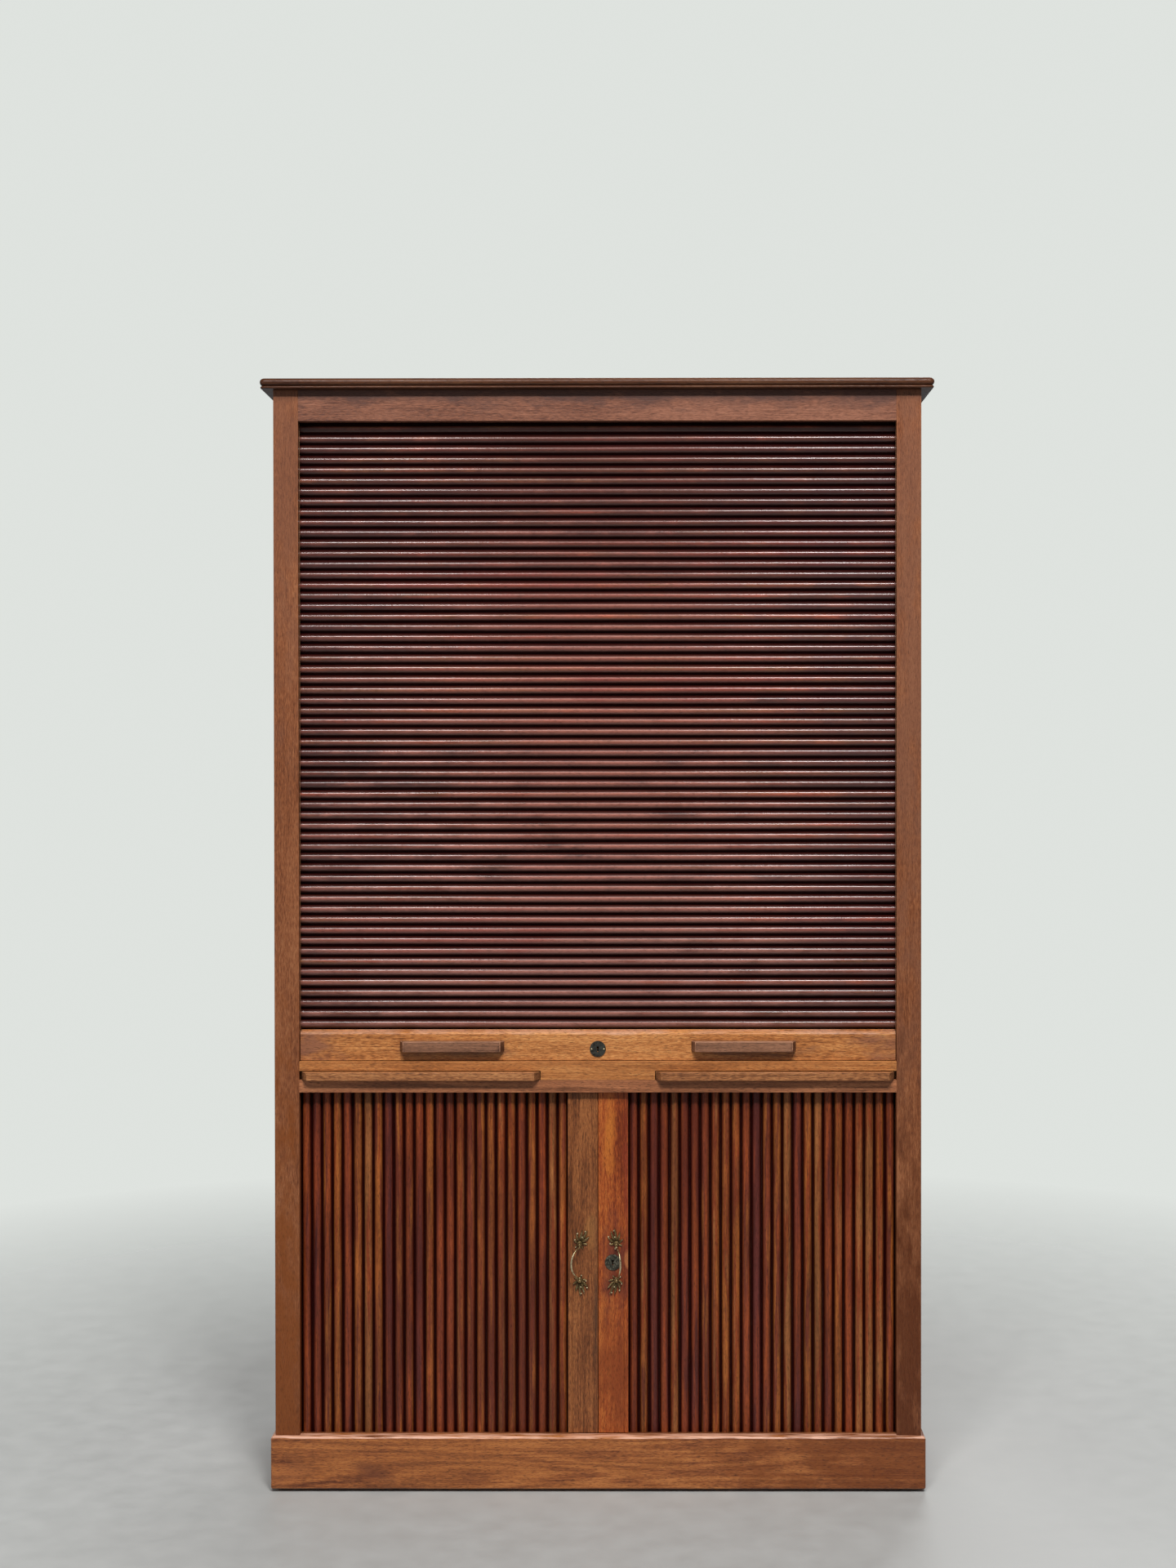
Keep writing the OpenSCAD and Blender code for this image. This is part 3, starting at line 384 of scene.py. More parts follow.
def to_object(bm, name, material, smooth_under=32, smooth_all=True):
    """Turns a bmesh into an object, smooth where its faces meet at less than that many degrees.

    With smooth_all off, faces that are marked flat stay flat.
    """
    bmesh.ops.recalc_face_normals(bm, faces=bm.faces)
    smooth = [smooth_all or f.smooth for f in bm.faces]
    mesh = bpy.data.meshes.new(name)
    bm.to_mesh(mesh)
    bm.free()
    mesh.materials.append(material)
    if "custom_normal" in mesh.attributes:
        mesh.attributes.remove(mesh.attributes["custom_normal"])
    mesh.set_sharp_from_angle(angle=math.radians(smooth_under))
    mesh.polygons.foreach_set("use_smooth", smooth)
    piece = bpy.data.objects.new(name, mesh)
    bpy.context.scene.collection.objects.link(piece)
    return piece


def settle(piece, body, slot, *nodes):
    """Puts a finished piece on its body, in the place of the CAD nodes that it stands for."""
    if nodes:
        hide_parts(*nodes)
    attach(piece, body)
    return piece


def body_of(node):
    return frame["nodes"][node]["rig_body"]


def slot_of(node):
    return next(s["material_slot"] for s in frame["record"]["subparts"] if s["node"] == node)


def flatten_normals(piece):
    """Lets the big faces set the shading, so that flat boards shade flat up to their rounded edges."""
    modifier = piece.modifiers.new("flat_faces", "WEIGHTED_NORMAL")
    modifier.keep_sharp = True


def on_a_curve(face):
    """Whether a face turns gently into the next one on two sides, as the facets of a round surface do."""
    turns = [e.calc_face_angle(0.0) for e in face.edges if len(e.link_faces) == 2]
    return sum(GENTLE[0] < turn < GENTLE[1] for turn in turns) > 1


def softened(node, material, round_by=0.9, shortest=12.0, segments=3):
    """A board with the CAD node's shape and its long edges rounded, or exactly that shape if round_by is 0.

    round_by and shortest, the shortest edge that is rounded, are in millimetres.
    """
    bm = bmesh.new()
    bm.from_mesh(frame["nodes"][node].data)
    bmesh.ops.remove_doubles(bm, verts=bm.verts, dist=WELD)
    rounded = set()
    if round_by:
        bmesh.ops.dissolve_limit(bm, angle_limit=FLAT_UNDER, verts=bm.verts, edges=bm.edges)
        sharp = [e for e in bm.edges if len(e.link_faces) == 2
                 and e.calc_face_angle(0.0) > SHARP_OVER and e.calc_length() > shortest * MM]
    edge = bm.verts.layers.float.new("edge")
    for f in bm.faces:
        f.smooth = on_a_curve(f)
    if round_by:
        made = bmesh.ops.bevel(bm, geom=sharp, offset=round_by * MM, segments=segments, profile=0.5,
                               affect="EDGES", clamp_overlap=True)
        rounded = set(made["faces"])
    for v in bm.verts:
        v[edge] = 1.0 if rounded.issuperset(v.link_faces) else 0.0
    for f in rounded:
        f.smooth = True
    piece = to_object(bm, node + "_finished", material, smooth_all=False)
    return settle(piece, body_of(node), slot_of(node), node)


def loft(bm, rings, close=False, caps=True):
    """Quads between rings of points, with a face over each end, or round to the first ring again."""
    made = [[bm.verts.new(p) for p in ring] for ring in rings]
    pairs = list(zip(made, made[1:]))
    if close:
        pairs.append((made[-1], made[0]))
    for a, b in pairs:
        for i in range(len(a)):
            j = (i + 1) % len(a)
            bm.faces.new((a[i], a[j], b[j], b[i]))
    if caps and not close:
        bm.faces.new(made[0])
        bm.faces.new(made[-1])
    return made


def lathe(bm, profile, centre, axis, sides, rise):
    """A turned shape: profile is (radius, distance along the axis) from one end to the other."""
    turn = Vector((0, 0, 1)).rotation_difference(Vector(axis)).to_matrix()
    centre = Vector(centre)
    rings = []
    for radius, along in profile:
        ring = [(radius * math.cos(a), radius * math.sin(a), along)
                for a in (2 * math.pi * i / sides for i in range(sides))]
        rings.append([centre + turn @ Vector(p) for p in ring])
    for ring in loft(bm, rings):
        for v in ring:
            v[bm.verts.layers.float["rise"]] = rise


def arc(radius, start, end, count):
    """(across, up) points on an arc, by angles in degrees."""
    turns = [math.radians(start + (end - start) * i / (count - 1)) for i in range(count)]
    return [(radius * math.cos(a), radius * math.sin(a)) for a in turns]


# ---- Boards that keep the CAD shape ----

BOARDS = {
    case_z_wood: ("left_stile", "right_stile", "left_side", "right_side"),
    rail_wood: ("top_rail",),
    case_x_wood: ("bottom_board", "plinth_back"),
    dark_rail_wood: ("guide_board",),
    edge_wood: ("worktop", "worktop_edge", "left_slide", "right_slide"),
    inner_z_wood: ("left_track_board", "right_track_board", "inner_back", "left_liner", "right_liner",
                   "lower_inner_back", "upper_back", "corner_blocks"),
    inner_x_wood: ("inner_top", "upper_shelf_low", "upper_shelf_high", "lower_shelf"),
    inner_y_wood: ("outer_runners", "inner_runners"),
    left_lead_wood: ("left_lead_stile",),
    right_lead_wood: ("right_lead_stile",),
    brass: ("rail_strike", "rail_bolt", "door_bolt"),
}
for board_material, board_nodes in BOARDS.items():
    for board in board_nodes:
        softened(board, board_material)
# Rounding would spoil the faces round the holes of these, so they keep the CAD shape exactly.
EXACT_BOARDS = {"lower_back": inner_z_wood, "rail_lock": plate_metal, "door_lock": plate_metal}
for board, board_material in EXACT_BOARDS.items():
    softened(board, board_material, round_by=0)


def dark_ends(node, reach):
    """Shade painted on both ends of a bar, where its bevelled end faces turn away from the light."""
    low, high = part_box(node)
    return [((x, low.y, low.z), (reach, 0.05, 0.05), END_SHADE, 0.9) for x in (low.x, high.x)]


END_SHADE_REACH = 12 * MM
pull_wood = wood("pull_wood", PULL, X, figure=0.2, blotch=0.5, seed=13, edge=0.9,
                 spots=dark_ends("left_pull", END_SHADE_REACH) + dark_ends("right_pull", END_SHADE_REACH))
lip_wood = wood("lip_wood", LIP, X, figure=0.2, blotch=0.7, fleck=0.7, seed=12,
                spots=dark_ends("left_slide_lip", END_SHADE_REACH) + dark_ends("right_slide_lip", END_SHADE_REACH))
for board in ("left_slide_lip", "right_slide_lip"):
    softened(board, lip_wood, round_by=1.3)
for board in ("left_pull", "right_pull"):
    softened(board, pull_wood, round_by=1.6)
for board, board_metal in (("rail_key_plate", plate_metal), ("door_key_plate", chased_metal)):
    softened(board, board_metal, round_by=0.35, shortest=0.0, segments=2)

lock_low, lock_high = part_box("lock_rail")
pull_centre = sum(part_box("right_pull"), Vector()) / 2
# A shadow painted under each pull, then darker tone towards the rail's ends, then a painted highlight along its top
# edge.
lock_spots = [((side * pull_centre.x, lock_low.y, pull_centre.z - 9 * MM), (0.125, 0.03, 0.016), PULL_SHADOW, 0.75)
              for side in (-1, 1)]
lock_spots += [((side * lock_high.x, lock_low.y, pull_centre.z), (0.10, 0.03, 0.05), (0.24, 0.095, 0.055), share)
               for side, share in ((-1, 0.8), (1, 0.65))]
lock_spots.append(((0.0, lock_low.y, lock_high.z), (1.2, 0.03, 0.006), (0.60, 0.33, 0.22), 0.6))  # painted highlight along the top edge, ragged like wear
lock_wood = wood("lock_rail_wood", GOLD, X, figure=0.35, blotch=0.5, fleck=0.6, spots=lock_spots, seed=19,
                 edge=0.8, wear_and_highlight_tone=WORN_GOLD_HIGHLIGHT)
softened("lock_rail", lock_wood, round_by=0.8, shortest=25.0)


# ---- Top board and its moulding ----

def plan(half_w, front, back, inset, corner, steps=7):
    """An outline with rounded front corners, drawn in by inset, from the rear left round to the rear right."""
    r = max(corner - inset, 0.3 * MM)
    x, y = half_w - inset - r, front + inset + r
    left = [(-x - c, y - s) for c, s in arc(r, 0, 90, steps)]
    left = [(inset - half_w, back)] + left
    return left + [(-px, py) for px, py in reversed(left)]


def flat_ring(points, z):
    return [Vector((x, y, z)) for x, y in points]


def nosing(radius, steps=13):
    """(inset, height) of a half-round edge, from its lower side up."""
    return [(radius - c, radius + s) for c, s in arc(radius, -90, 90, steps)]


TOP_CORNER = 9 * MM
MOULDING_CORNER = 8 * MM
MOULDING_STRIP = 70 * MM


def top_board_piece():
    low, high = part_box("top_board")
    thick = high.z - low.z
    rings = [flat_ring(plan(high.x, low.y, high.y, inset, TOP_CORNER), low.z + up)
             for inset, up in nosing(thick / 2)]
    bm = bmesh.new()
    loft(bm, rings)
    piece = to_object(bm, "top_board_finished", top_wood, smooth_under=45)
    flatten_normals(piece)
    settle(piece, "case", "case_wood", "top_board")


def top_moulding_piece():
    low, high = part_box("top_moulding")
    thick = high.z - low.z
    rings = [flat_ring(plan(high.x, low.y, high.y, inset, MOULDING_CORNER), low.z + up)
             for inset, up in nosing(thick / 2, 9)]
    for z in (high.z, low.z):
        rings.append(flat_ring(plan(high.x, low.y, high.y - MOULDING_STRIP, MOULDING_STRIP, MOULDING_CORNER), z))
    bm = bmesh.new()
    loft(bm, rings, close=True)
    piece = to_object(bm, "top_moulding_finished", top_wood, smooth_under=45)
    flatten_normals(piece)
    settle(piece, "case", "case_wood", "top_moulding")


top_board_piece()
top_moulding_piece()


# ---- Plinth ----

PLINTH_CORNER = 4 * MM
PLINTH_T = 18 * MM
PLINTH_ROUND = 6 * MM
PLINTH_FOOT = 4 * MM
PLINTH_HIGHLIGHT_RINGS = 7  # rings of vertices, counted from the top, that get the painted highlight of the rounded top


def plinth_levels(low_z, high_z):
    """(inset, height) up the face of a plinth board: a soft foot, a flat face and a rounded top."""
    foot = [(PLINTH_FOOT - c, low_z + PLINTH_FOOT + s) for c, s in arc(PLINTH_FOOT, -90, 0, 5)]
    top = [(PLINTH_ROUND - c, high_z - PLINTH_ROUND + s) for c, s in arc(PLINTH_ROUND, 0, 90, 9)]
    return foot + top


def half_corner(half_w, front, inset, start, end):
    """Part of the left front corner's round, by angles from the side face."""
    r = max(PLINTH_CORNER - inset, 0.2 * MM)
    x, y = half_w - inset - r, front + inset + r
    return [(-x - c, y - s) for c, s in arc(r, start, end, 5)]


def plinth_piece(name, outline, material):
    low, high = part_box(name)
    rings = [flat_ring(outline(inset), z) for inset, z in plinth_levels(low.z, high.z)]
    bm = bmesh.new()
    edge = bm.verts.layers.float.new("edge")
    # The top rings carry the painted highlight of the rounded top.
    for ring in loft(bm, rings)[-PLINTH_HIGHLIGHT_RINGS:]:
        for v in ring:
            v[edge] = 1.0
    piece = to_object(bm, name + "_finished", material, smooth_under=40)
    flatten_normals(piece)
    settle(piece, "case", "case_wood", name)


def plinth_pieces():
    low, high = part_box("plinth_front")
    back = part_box("plinth_left")[1].y
    half_w, front = high.x, low.y
    inner_x, inner_y = half_w - PLINTH_T, front + PLINTH_T

    def front_outline(inset):
        left = [(-inner_x, inner_y)] + half_corner(half_w, front, inset, 45, 90)
        return left + [(-x, y) for x, y in reversed(left)]

    def left_outline(inset):
        face = half_corner(half_w, front, inset, 0, 45)
        return [(-inner_x, back), (inset - half_w, back)] + face + [(-inner_x, inner_y)]

    def right_outline(inset):
        return [(-x, y) for x, y in reversed(left_outline(inset))]

    plinth_piece("plinth_front", front_outline, plinth_x_wood)
    plinth_piece("plinth_left", left_outline, plinth_y_wood)
    plinth_piece("plinth_right", right_outline, plinth_y_wood)


plinth_pieces()


# ---- Tambours ----

SLAT_T = 11 * MM
SLAT_GAP = 0.4 * MM
BEAD_HALF = 7.4 * MM
SLAT_STRETCHES = 24
CLOTH_START = 1 * MM
CLOTH_DEPTH = 0.5 * MM
SHUTTER_PITCH = 18.75 * MM
SHUTTER_SLATS = 61
SHUTTER_FRONT_SLATS = 58
SHUTTER_STRAIGHT = SHUTTER_FRONT_SLATS * SHUTTER_PITCH
SHUTTER_SHOULDER = 3.9 * MM
SHUTTER_BEND = 33 * MM
SHUTTER_CLOTH_TURN = 88  # degrees of the bend that the canvas covers
DOOR_PITCH = 18.42 * MM
DOOR_SLAT_COUNT = 27
DOOR_SHOULDER = 3.6 * MM
DOOR_START = 54.5 * MM  # distances from the middle of the case, here and in the next two
DOOR_TURN = 522 * MM
DOOR_BEND = 28 * MM
DOOR_CLOTH_TURN = 60


def bead_section(pitch, half_bead, shoulder):
    """A slat's section as (across, height above its back): flat back, a fillet each side and a bead."""
    half = (pitch - SLAT_GAP) / 2
    chamfer = 0.5 * MM
    step = 0.5 * MM
    quirk = 0.2 * MM
    bead = [(c * half_bead, shoulder + s * (SLAT_T - shoulder)) for c, s in arc(1.0, 180, 0, 19)]
    left = [(-half, 0.0), (-half, shoulder - step - chamfer), (chamfer - half, shoulder - step),
            (-half_bead - quirk, shoulder - step)]
    return left + bead + [(-u, v) for u, v in reversed(left)]


def slats(name, material, count, pitch, section, place, ends, lengthwise, seed, wobble):
    """A tambour's slats in one mesh. place gives a slat's middle, its across and its outward direction.

    Each slat has its own tone, and wavers by about wobble along its length, as hand-planed wood does.
    """
    draw = random.Random(seed)
    bm = bmesh.new()
    tone = bm.verts.layers.float.new("tone")
    rise = bm.verts.layers.float.new("rise")
    flank = bm.verts.layers.float.new("flank")
    for i in range(count):
        middle, across, outward = place((i + 0.5) * pitch)
        slat_tone = draw.random()
        phase = [draw.uniform(0, 2 * math.pi) for _ in range(4)]
        rings = []
        for k in range(SLAT_STRETCHES + 1):
            t = k / SLAT_STRETCHES
            lean = wobble * (math.sin(5.1 * t + phase[0]) + 0.5 * math.sin(17 * t + phase[1]))
            swell = 0.16 * MM * (math.sin(7.3 * t + phase[2]) + 0.6 * math.sin(23 * t + phase[3]) - 1.6)
            at = middle + lengthwise * (ends[0] + (ends[1] - ends[0]) * t)
            rings.append([at + across * (u + lean * (v / SLAT_T)) + outward * (v * (1 + swell / SLAT_T))
                          for u, v in section])
        for ring in loft(bm, rings):
            for v, (aside, height) in zip(ring, section):
                v[tone] = slat_tone
                v[rise] = height / SLAT_T
                v[flank] = 2 * aside / pitch
    return to_object(bm, name, material, smooth_under=38)


def track_place(start, bend, radius, back_y, upright):
    """Where a slat or the canvas lies at a distance along its track. upright tracks rise, others go sideways."""
    side = math.copysign(1.0, bend - start)

    def place(s):
        turn = max(0.0, s - abs(bend - start)) / radius
        u = start + side * (min(s, abs(bend - start)) + radius * math.sin(turn))
        y = back_y + radius * (1 - math.cos(turn))
        along = Vector((side * math.cos(turn), math.sin(turn)))
        out = Vector((side * math.sin(turn), -math.cos(turn)))
        if upright:
            return Vector((0, y, u)), Vector((0, along.y, along.x)), Vector((0, out.y, out.x))
        return Vector((u, y, 0)), Vector((along.x, along.y, 0)), Vector((out.x, out.y, 0))
    return place


def cloth_strip(name, place, start, end, edges, lengthwise, steps=40):
    """A single sheet of canvas along a track, from start to end, between its two edges."""
    bm = bmesh.new()
    rows = []
    for k in range(steps + 1):
        middle, _, outward = place(start + (end - start) * k / steps)
        rows.append([bm.verts.new(middle - outward * CLOTH_DEPTH + lengthwise * e) for e in edges])
    for a, b in zip(rows, rows[1:]):
        bm.faces.new((a[0], a[1], b[1], b[0]))
    return to_object(bm, name, canvas, smooth_under=60)


def upper_tambour():
    low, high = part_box("shutter_slats")
    start = low.z - SLAT_GAP / 2
    across = Vector((1, 0, 0))
    place = track_place(start, start + SHUTTER_STRAIGHT, SHUTTER_BEND, low.y + SLAT_T, upright=True)
    section = bead_section(SHUTTER_PITCH, BEAD_HALF, SHUTTER_SHOULDER)
    tambour = slats("shutter_slats_finished", slat_wood, SHUTTER_SLATS, SHUTTER_PITCH, section, place,
                    (low.x, high.x), across, seed=7, wobble=0.24 * MM)
    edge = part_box("shutter_canvas")[1].x
    length = SHUTTER_STRAIGHT + SHUTTER_BEND * math.radians(SHUTTER_CLOTH_TURN)
    cloth = cloth_strip("shutter_canvas_sheet", place, CLOTH_START, length, (-edge, edge), across)
    for piece, node in ((tambour, "shutter_slats"), (cloth, "shutter_canvas")):
        settle(piece, "case", slot_of(node), node)
        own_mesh(piece)


def door_tambour(side, word):
    low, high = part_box(word + "_door_slats")
    up = Vector((0, 0, 1))
    place = track_place(side * DOOR_START, side * DOOR_TURN, DOOR_BEND, low.y + SLAT_T, upright=False)
    section = bead_section(DOOR_PITCH, BEAD_HALF, DOOR_SHOULDER)
    tambour = slats(word + "_door_slats_finished", door_wood, DOOR_SLAT_COUNT, DOOR_PITCH, section, place,
                    (low.z, high.z), up, seed=20 + side, wobble=0.3 * MM)
    cloth_low, cloth_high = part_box(word + "_canvas")
    length = DOOR_TURN - DOOR_START + DOOR_BEND * math.radians(DOOR_CLOTH_TURN)
    cloth = cloth_strip(word + "_canvas_sheet", place, CLOTH_START, length, (cloth_low.z, cloth_high.z), up)
    for piece, node in ((tambour, word + "_door_slats"), (cloth, word + "_canvas")):
        settle(piece, "case", slot_of(node), node)
        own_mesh(piece)


upper_tambour()
door_tambour(-1, "left")
door_tambour(1, "right")


# ---- Handles ----

POST_HALF = 32.5 * MM  # half the distance between a bail's two posts
BOW_HALF = 27.5 * MM
REACH = 20 * MM
BOW_STEPS = 32
PIN_R = 1.5 * MM
PIN_TIP_R = 1.1 * MM
PIN_LENGTH = 7 * MM
COLLAR_R = 2.3 * MM
COLLAR_HALF = 1.9 * MM
BUD_HEIGHT = 2.2 * MM


def grow(bm, stand, rows, rise_rows):
    """A closed lump from a grid of points: rows over the top, and the same outline flat underneath."""
    rise = bm.verts.layers.float["rise"]
    top = []
    for row, rises in zip(rows, rise_rows):
        top.append([bm.verts.new(stand @ p) for p in row])
        for v, r in zip(top[-1], rises):
            v[rise] = r
    base = [[bm.verts.new(stand @ Vector((p.x, p.y, 0.0))) for p in row] for row in rows]
    for a, b in zip(top, top[1:]):
        for i in range(len(a) - 1):
            bm.faces.new((a[i], a[i + 1], b[i + 1], b[i]))
    for a, b in zip(base, base[1:]):
        for i in range(len(a) - 1):
            bm.faces.new((b[i], b[i + 1], a[i + 1], a[i]))
    rim_top = top[0][:-1] + [r[-1] for r in top[:-1]] + top[-1][:0:-1] + [r[0] for r in top[:0:-1]]
    rim_base = base[0][:-1] + [r[-1] for r in base[:-1]] + base[-1][:0:-1] + [r[0] for r in base[:0:-1]]
    for i in range(len(rim_top)):
        j = (i + 1) % len(rim_top)
        bm.faces.new((rim_top[j], rim_top[i], rim_base[i], rim_base[j]))


def leaf(bm, stand, angle, start, length, width, lift, curl):
    """One cupped leaf with a midrib, lying on z = 0 and pointing along +y before it is turned."""
    along, across = 10, 6
    rows, rises = [], []
    for i in range(along + 1):
        t = i / along
        half = width * 0.5 * (math.sin(math.pi * min(t * 0.93 + 0.05, 1.0)) ** 0.75) * (1 - 0.35 * t) + 0.12 * MM
        bend = curl * t * t
        row, row_rise = [], []
        for k in range(across + 1):
            v = 2 * k / across - 1
            rib = math.exp(-(v / 0.3) ** 2)
            height = 0.8 * MM + lift * math.sin(math.pi * 0.6 * t) + (1 - v * v) * 0.9 * MM
            height -= rib * 0.45 * MM * (1 - t)
            row.append(Vector((v * half + bend, start + t * length, height)))
            row_rise.append(0.25 + 0.4 * t + 0.35 * (1 - abs(v)) - 0.35 * rib)
        rows.append(row)
        rises.append(row_rise)
    grow(bm, stand @ Matrix.Rotation(math.radians(angle), 4, "Z"), rows, rises)


def bud(bm, stand, x, y, z, radius):
    centre = Matrix.Translation(stand @ Vector((x, y, z)))
    for v in bmesh.ops.create_icosphere(bm, subdivisions=2, radius=radius, matrix=centre)["verts"]:
        v[bm.verts.layers.float["rise"]] = 1.0


LEAVES = (
    # angle, start, length, width, lift, curl: the spray above the post, then the small leaves under it
    (-40, 3.5, 18.0, 4.6, 2.4, -2.0),
    (-15, 4.0, 23.5, 4.6, 3.0, -1.5),
    (11, 4.0, 21.0, 4.8, 2.6, 2.5),
    (42, 3.5, 15.5, 4.6, 2.0, 2.5),
    (80, 3.0, 9.5, 4.0, 1.2, 1.0),
    (-78, 3.0, 11.0, 4.2, 1.4, -1.5),
    (-128, 2.5, 8.0, 3.6, 0.8, -0.5),
    (146, 2.5, 8.0, 3.6, 0.6, 0.4),
)
# x, y, radius
BUDS = ((-9.5, 16.5, 1.7), (3.0, 24.0, 1.6), (9.5, 12.5, 1.6), (-10.5, 4.5, 1.4), (1.0, 12.5, 1.5), (-5.0, -7.5, 1.3))
# radius, distance from the door, up to the ball; all of these in millimetres
BOSS = [(5.2, 0), (5.2, 1.2), (4.6, 2.4), (3.2, 3.2), (2.4, 4.6), (2.9, 5.6), (2.4, 6.4)]
BALL_R = 3.5
BALL_CENTRE = 9


def rosette(bm, x, z, face_y, upward, lean):
    """A spray of leaves and buds round a boss, with the post and the ball that carry the bail."""
    turn = Matrix.Rotation(math.radians(lean if upward else 180 + lean), 4, "Z")
    stand = Matrix.Translation((x, face_y, z)) @ Matrix.Rotation(math.radians(90), 4, "X") @ turn
    for angle, start, length, width, lift, curl in LEAVES:
        leaf(bm, stand, angle, start * MM, length * MM, width * MM, lift * MM, curl * MM)
    for bx, by, radius in BUDS:
        bud(bm, stand, bx * MM, by * MM, BUD_HEIGHT, radius * MM)
    post = BOSS + [(BALL_R * c, BALL_CENTRE + BALL_R * s) for c, s in arc(1.0, -45, 85, 9)]
    lathe(bm, [(r * MM, h * MM) for r, h in post], (x, face_y, z), (0, -1, 0), sides=20, rise=0.6)


def rosettes(word, side):
    face_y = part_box(word + "_rosettes")[1].y
    joint = next(j for j in frame["joints"] if j["name"] == word + "_bail_swing")
    axis_x, _, middle_z = joint["pos_m"]
    bm = bmesh.new()
    bm.verts.layers.float.new("rise")
    rosette(bm, axis_x, middle_z + POST_HALF, face_y, upward=True, lean=18 * side)
    rosette(bm, axis_x, middle_z - POST_HALF, face_y, upward=False, lean=-14 * side)
    piece = to_object(bm, word + "_rosettes_finished", brass, smooth_under=50)
    settle(piece, word + "_door", "brass", word + "_rosettes")


def swept(bm, points, radii, sides=12):
    """A round bar along points, with a radius at each."""
    rings = []
    for i, p in enumerate(points):
        ahead = points[min(i + 1, len(points) - 1)] - points[max(i - 1, 0)]
        side = ahead.cross(Vector((0.3, 0.9, 0.05))).normalized()
        up = ahead.cross(side).normalized()
        turns = [2 * math.pi * k / sides for k in range(sides)]
        rings.append([p + radii[i] * (side * math.cos(a) + up * math.sin(a)) for a in turns])
    return loft(bm, rings)


def bail(word, swing):
    """The bow, thicker in its middle, with a collar and a pin at each end, swung out by swing degrees."""
    joint = next(j for j in frame["joints"] if j["name"] == word + "_bail_swing")
    axis = Vector(joint["pos_m"])
    out = Matrix.Rotation(math.radians(swing), 3, "Z") @ Vector((0, -1, 0))
    bow_r = (BOW_HALF ** 2 + REACH ** 2) / (2 * REACH)
    half_turn = math.asin(BOW_HALF / bow_r)
    points, radii = [], []
    for i in range(BOW_STEPS + 1):
        t = 2 * i / BOW_STEPS - 1
        a = half_turn * t
        reach = bow_r * math.cos(a) - (bow_r - REACH)
        points.append(axis + out * reach + Vector((0, 0, bow_r * math.sin(a))))
        radii.append((1.05 + 0.7 * math.cos(math.pi / 2 * t) ** 0.8) * MM)
    bm = bmesh.new()
    rise = bm.verts.layers.float.new("rise")
    for i, ring in enumerate(swept(bm, points, radii)):
        for v in ring:
            v[rise] = 0.6 + 0.3 * math.sin(math.pi * i / BOW_STEPS)
    for side in (-1, 1):
        end = BOW_HALF * side
        collar = [(PIN_R, -COLLAR_HALF)] + arc(COLLAR_R, -50, 50, 7)
        collar += [(PIN_R, COLLAR_HALF), (PIN_R, PIN_LENGTH), (PIN_TIP_R, PIN_LENGTH + 0.5 * MM)]
        lathe(bm, collar, axis + Vector((0, 0, end)), (0, 0, side), sides=16, rise=0.7)
    piece = to_object(bm, word + "_bail_finished", brass, smooth_under=50)
    settle(piece, word + "_handle_bail", "brass", word + "_bail")


for handle_word, handle_side, handle_swing in (("left", -1, -46), ("right", 1, 22)):
    rosettes(handle_word, handle_side)
    bail(handle_word, handle_swing)


# ---- Small metal pieces ----

def rail_pin_pieces():
    """Two domed pins beside the keyhole."""
    low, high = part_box("rail_pins")
    z = (low.z + high.z) / 2
    head = 1.5 * MM
    plate = 1.5 * MM
    stem = [(0.9 * MM, -5 * MM), (0.9 * MM, plate)]
    dome = [(head * c, plate + 0.75 * MM * s) for c, s in arc(1.0, 0, 88, 7)]
    bm = bmesh.new()
    bm.verts.layers.float.new("rise")
    for x in (low.x + head, high.x - head):
        lathe(bm, stem + dome, (x, lock_low.y, z), (0, -1, 0), sides=20, rise=1.0)
    settle(to_object(bm, "rail_pins_finished", brass, smooth_under=40), "shutter", "brass", "rail_pins")


# Sizes of a screw in millimetres: (radius, height) up its shank and its slot's floor, (inset, height) of its head
SCREW_SHANK = ((1.1, -25), (1.7, -20), (1.7, -3), (3.1, -1.2))
SCREW_FLOOR = ((3.1, -1.2), (3.1, -0.7))
SCREW_HEAD = ((0.0, -0.9), (0.0, -0.3), (0.3, -0.02))
SCREW_HEAD_R = 3.3
SCREW_SLOT_HALF = 0.45


def slotted_screw(bm, at):
    """A countersunk screw with a slotted head, seen from +Y. Each screw's slot stands at its own angle."""
    for profile, rise in ((SCREW_SHANK, 0.3), (SCREW_FLOOR, 0.1)):
        lathe(bm, [(r * MM, h * MM) for r, h in profile], at, (0, 1, 0), sides=16, rise=rise)
    tilt = Matrix.Rotation(math.radians(37 * at[2] * 100 % 180), 3, "Y")
    half = arc(SCREW_HEAD_R, 8, 172, 13)
    for side in (-1, 1):
        rings = []
        for inset, up in SCREW_HEAD:
            ring = [Vector((px * (1 - inset / SCREW_HEAD_R), up, side * max(py - inset, SCREW_SLOT_HALF))) * MM
                    for px, py in half]
            rings.append([Vector(at) + tilt @ p for p in ring])
        for ring in loft(bm, rings):
            for v in ring:
                v[bm.verts.layers.float["rise"]] = 0.7


def back_screw_pieces():
    """Two upright rows of screws, evenly spaced."""
    low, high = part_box("back_screws")
    head = 3.4 * MM
    per_side = 7
    bm = bmesh.new()
    bm.verts.layers.float.new("rise")
    for i in range(per_side):
        z = low.z + head + (high.z - low.z - 2 * head) * i / (per_side - 1)
        for x in (low.x + head, high.x - head):
            slotted_screw(bm, (x, high.y, z))
    settle(to_object(bm, "back_screws_finished", brass, smooth_under=40), "case", "brass", "back_screws")


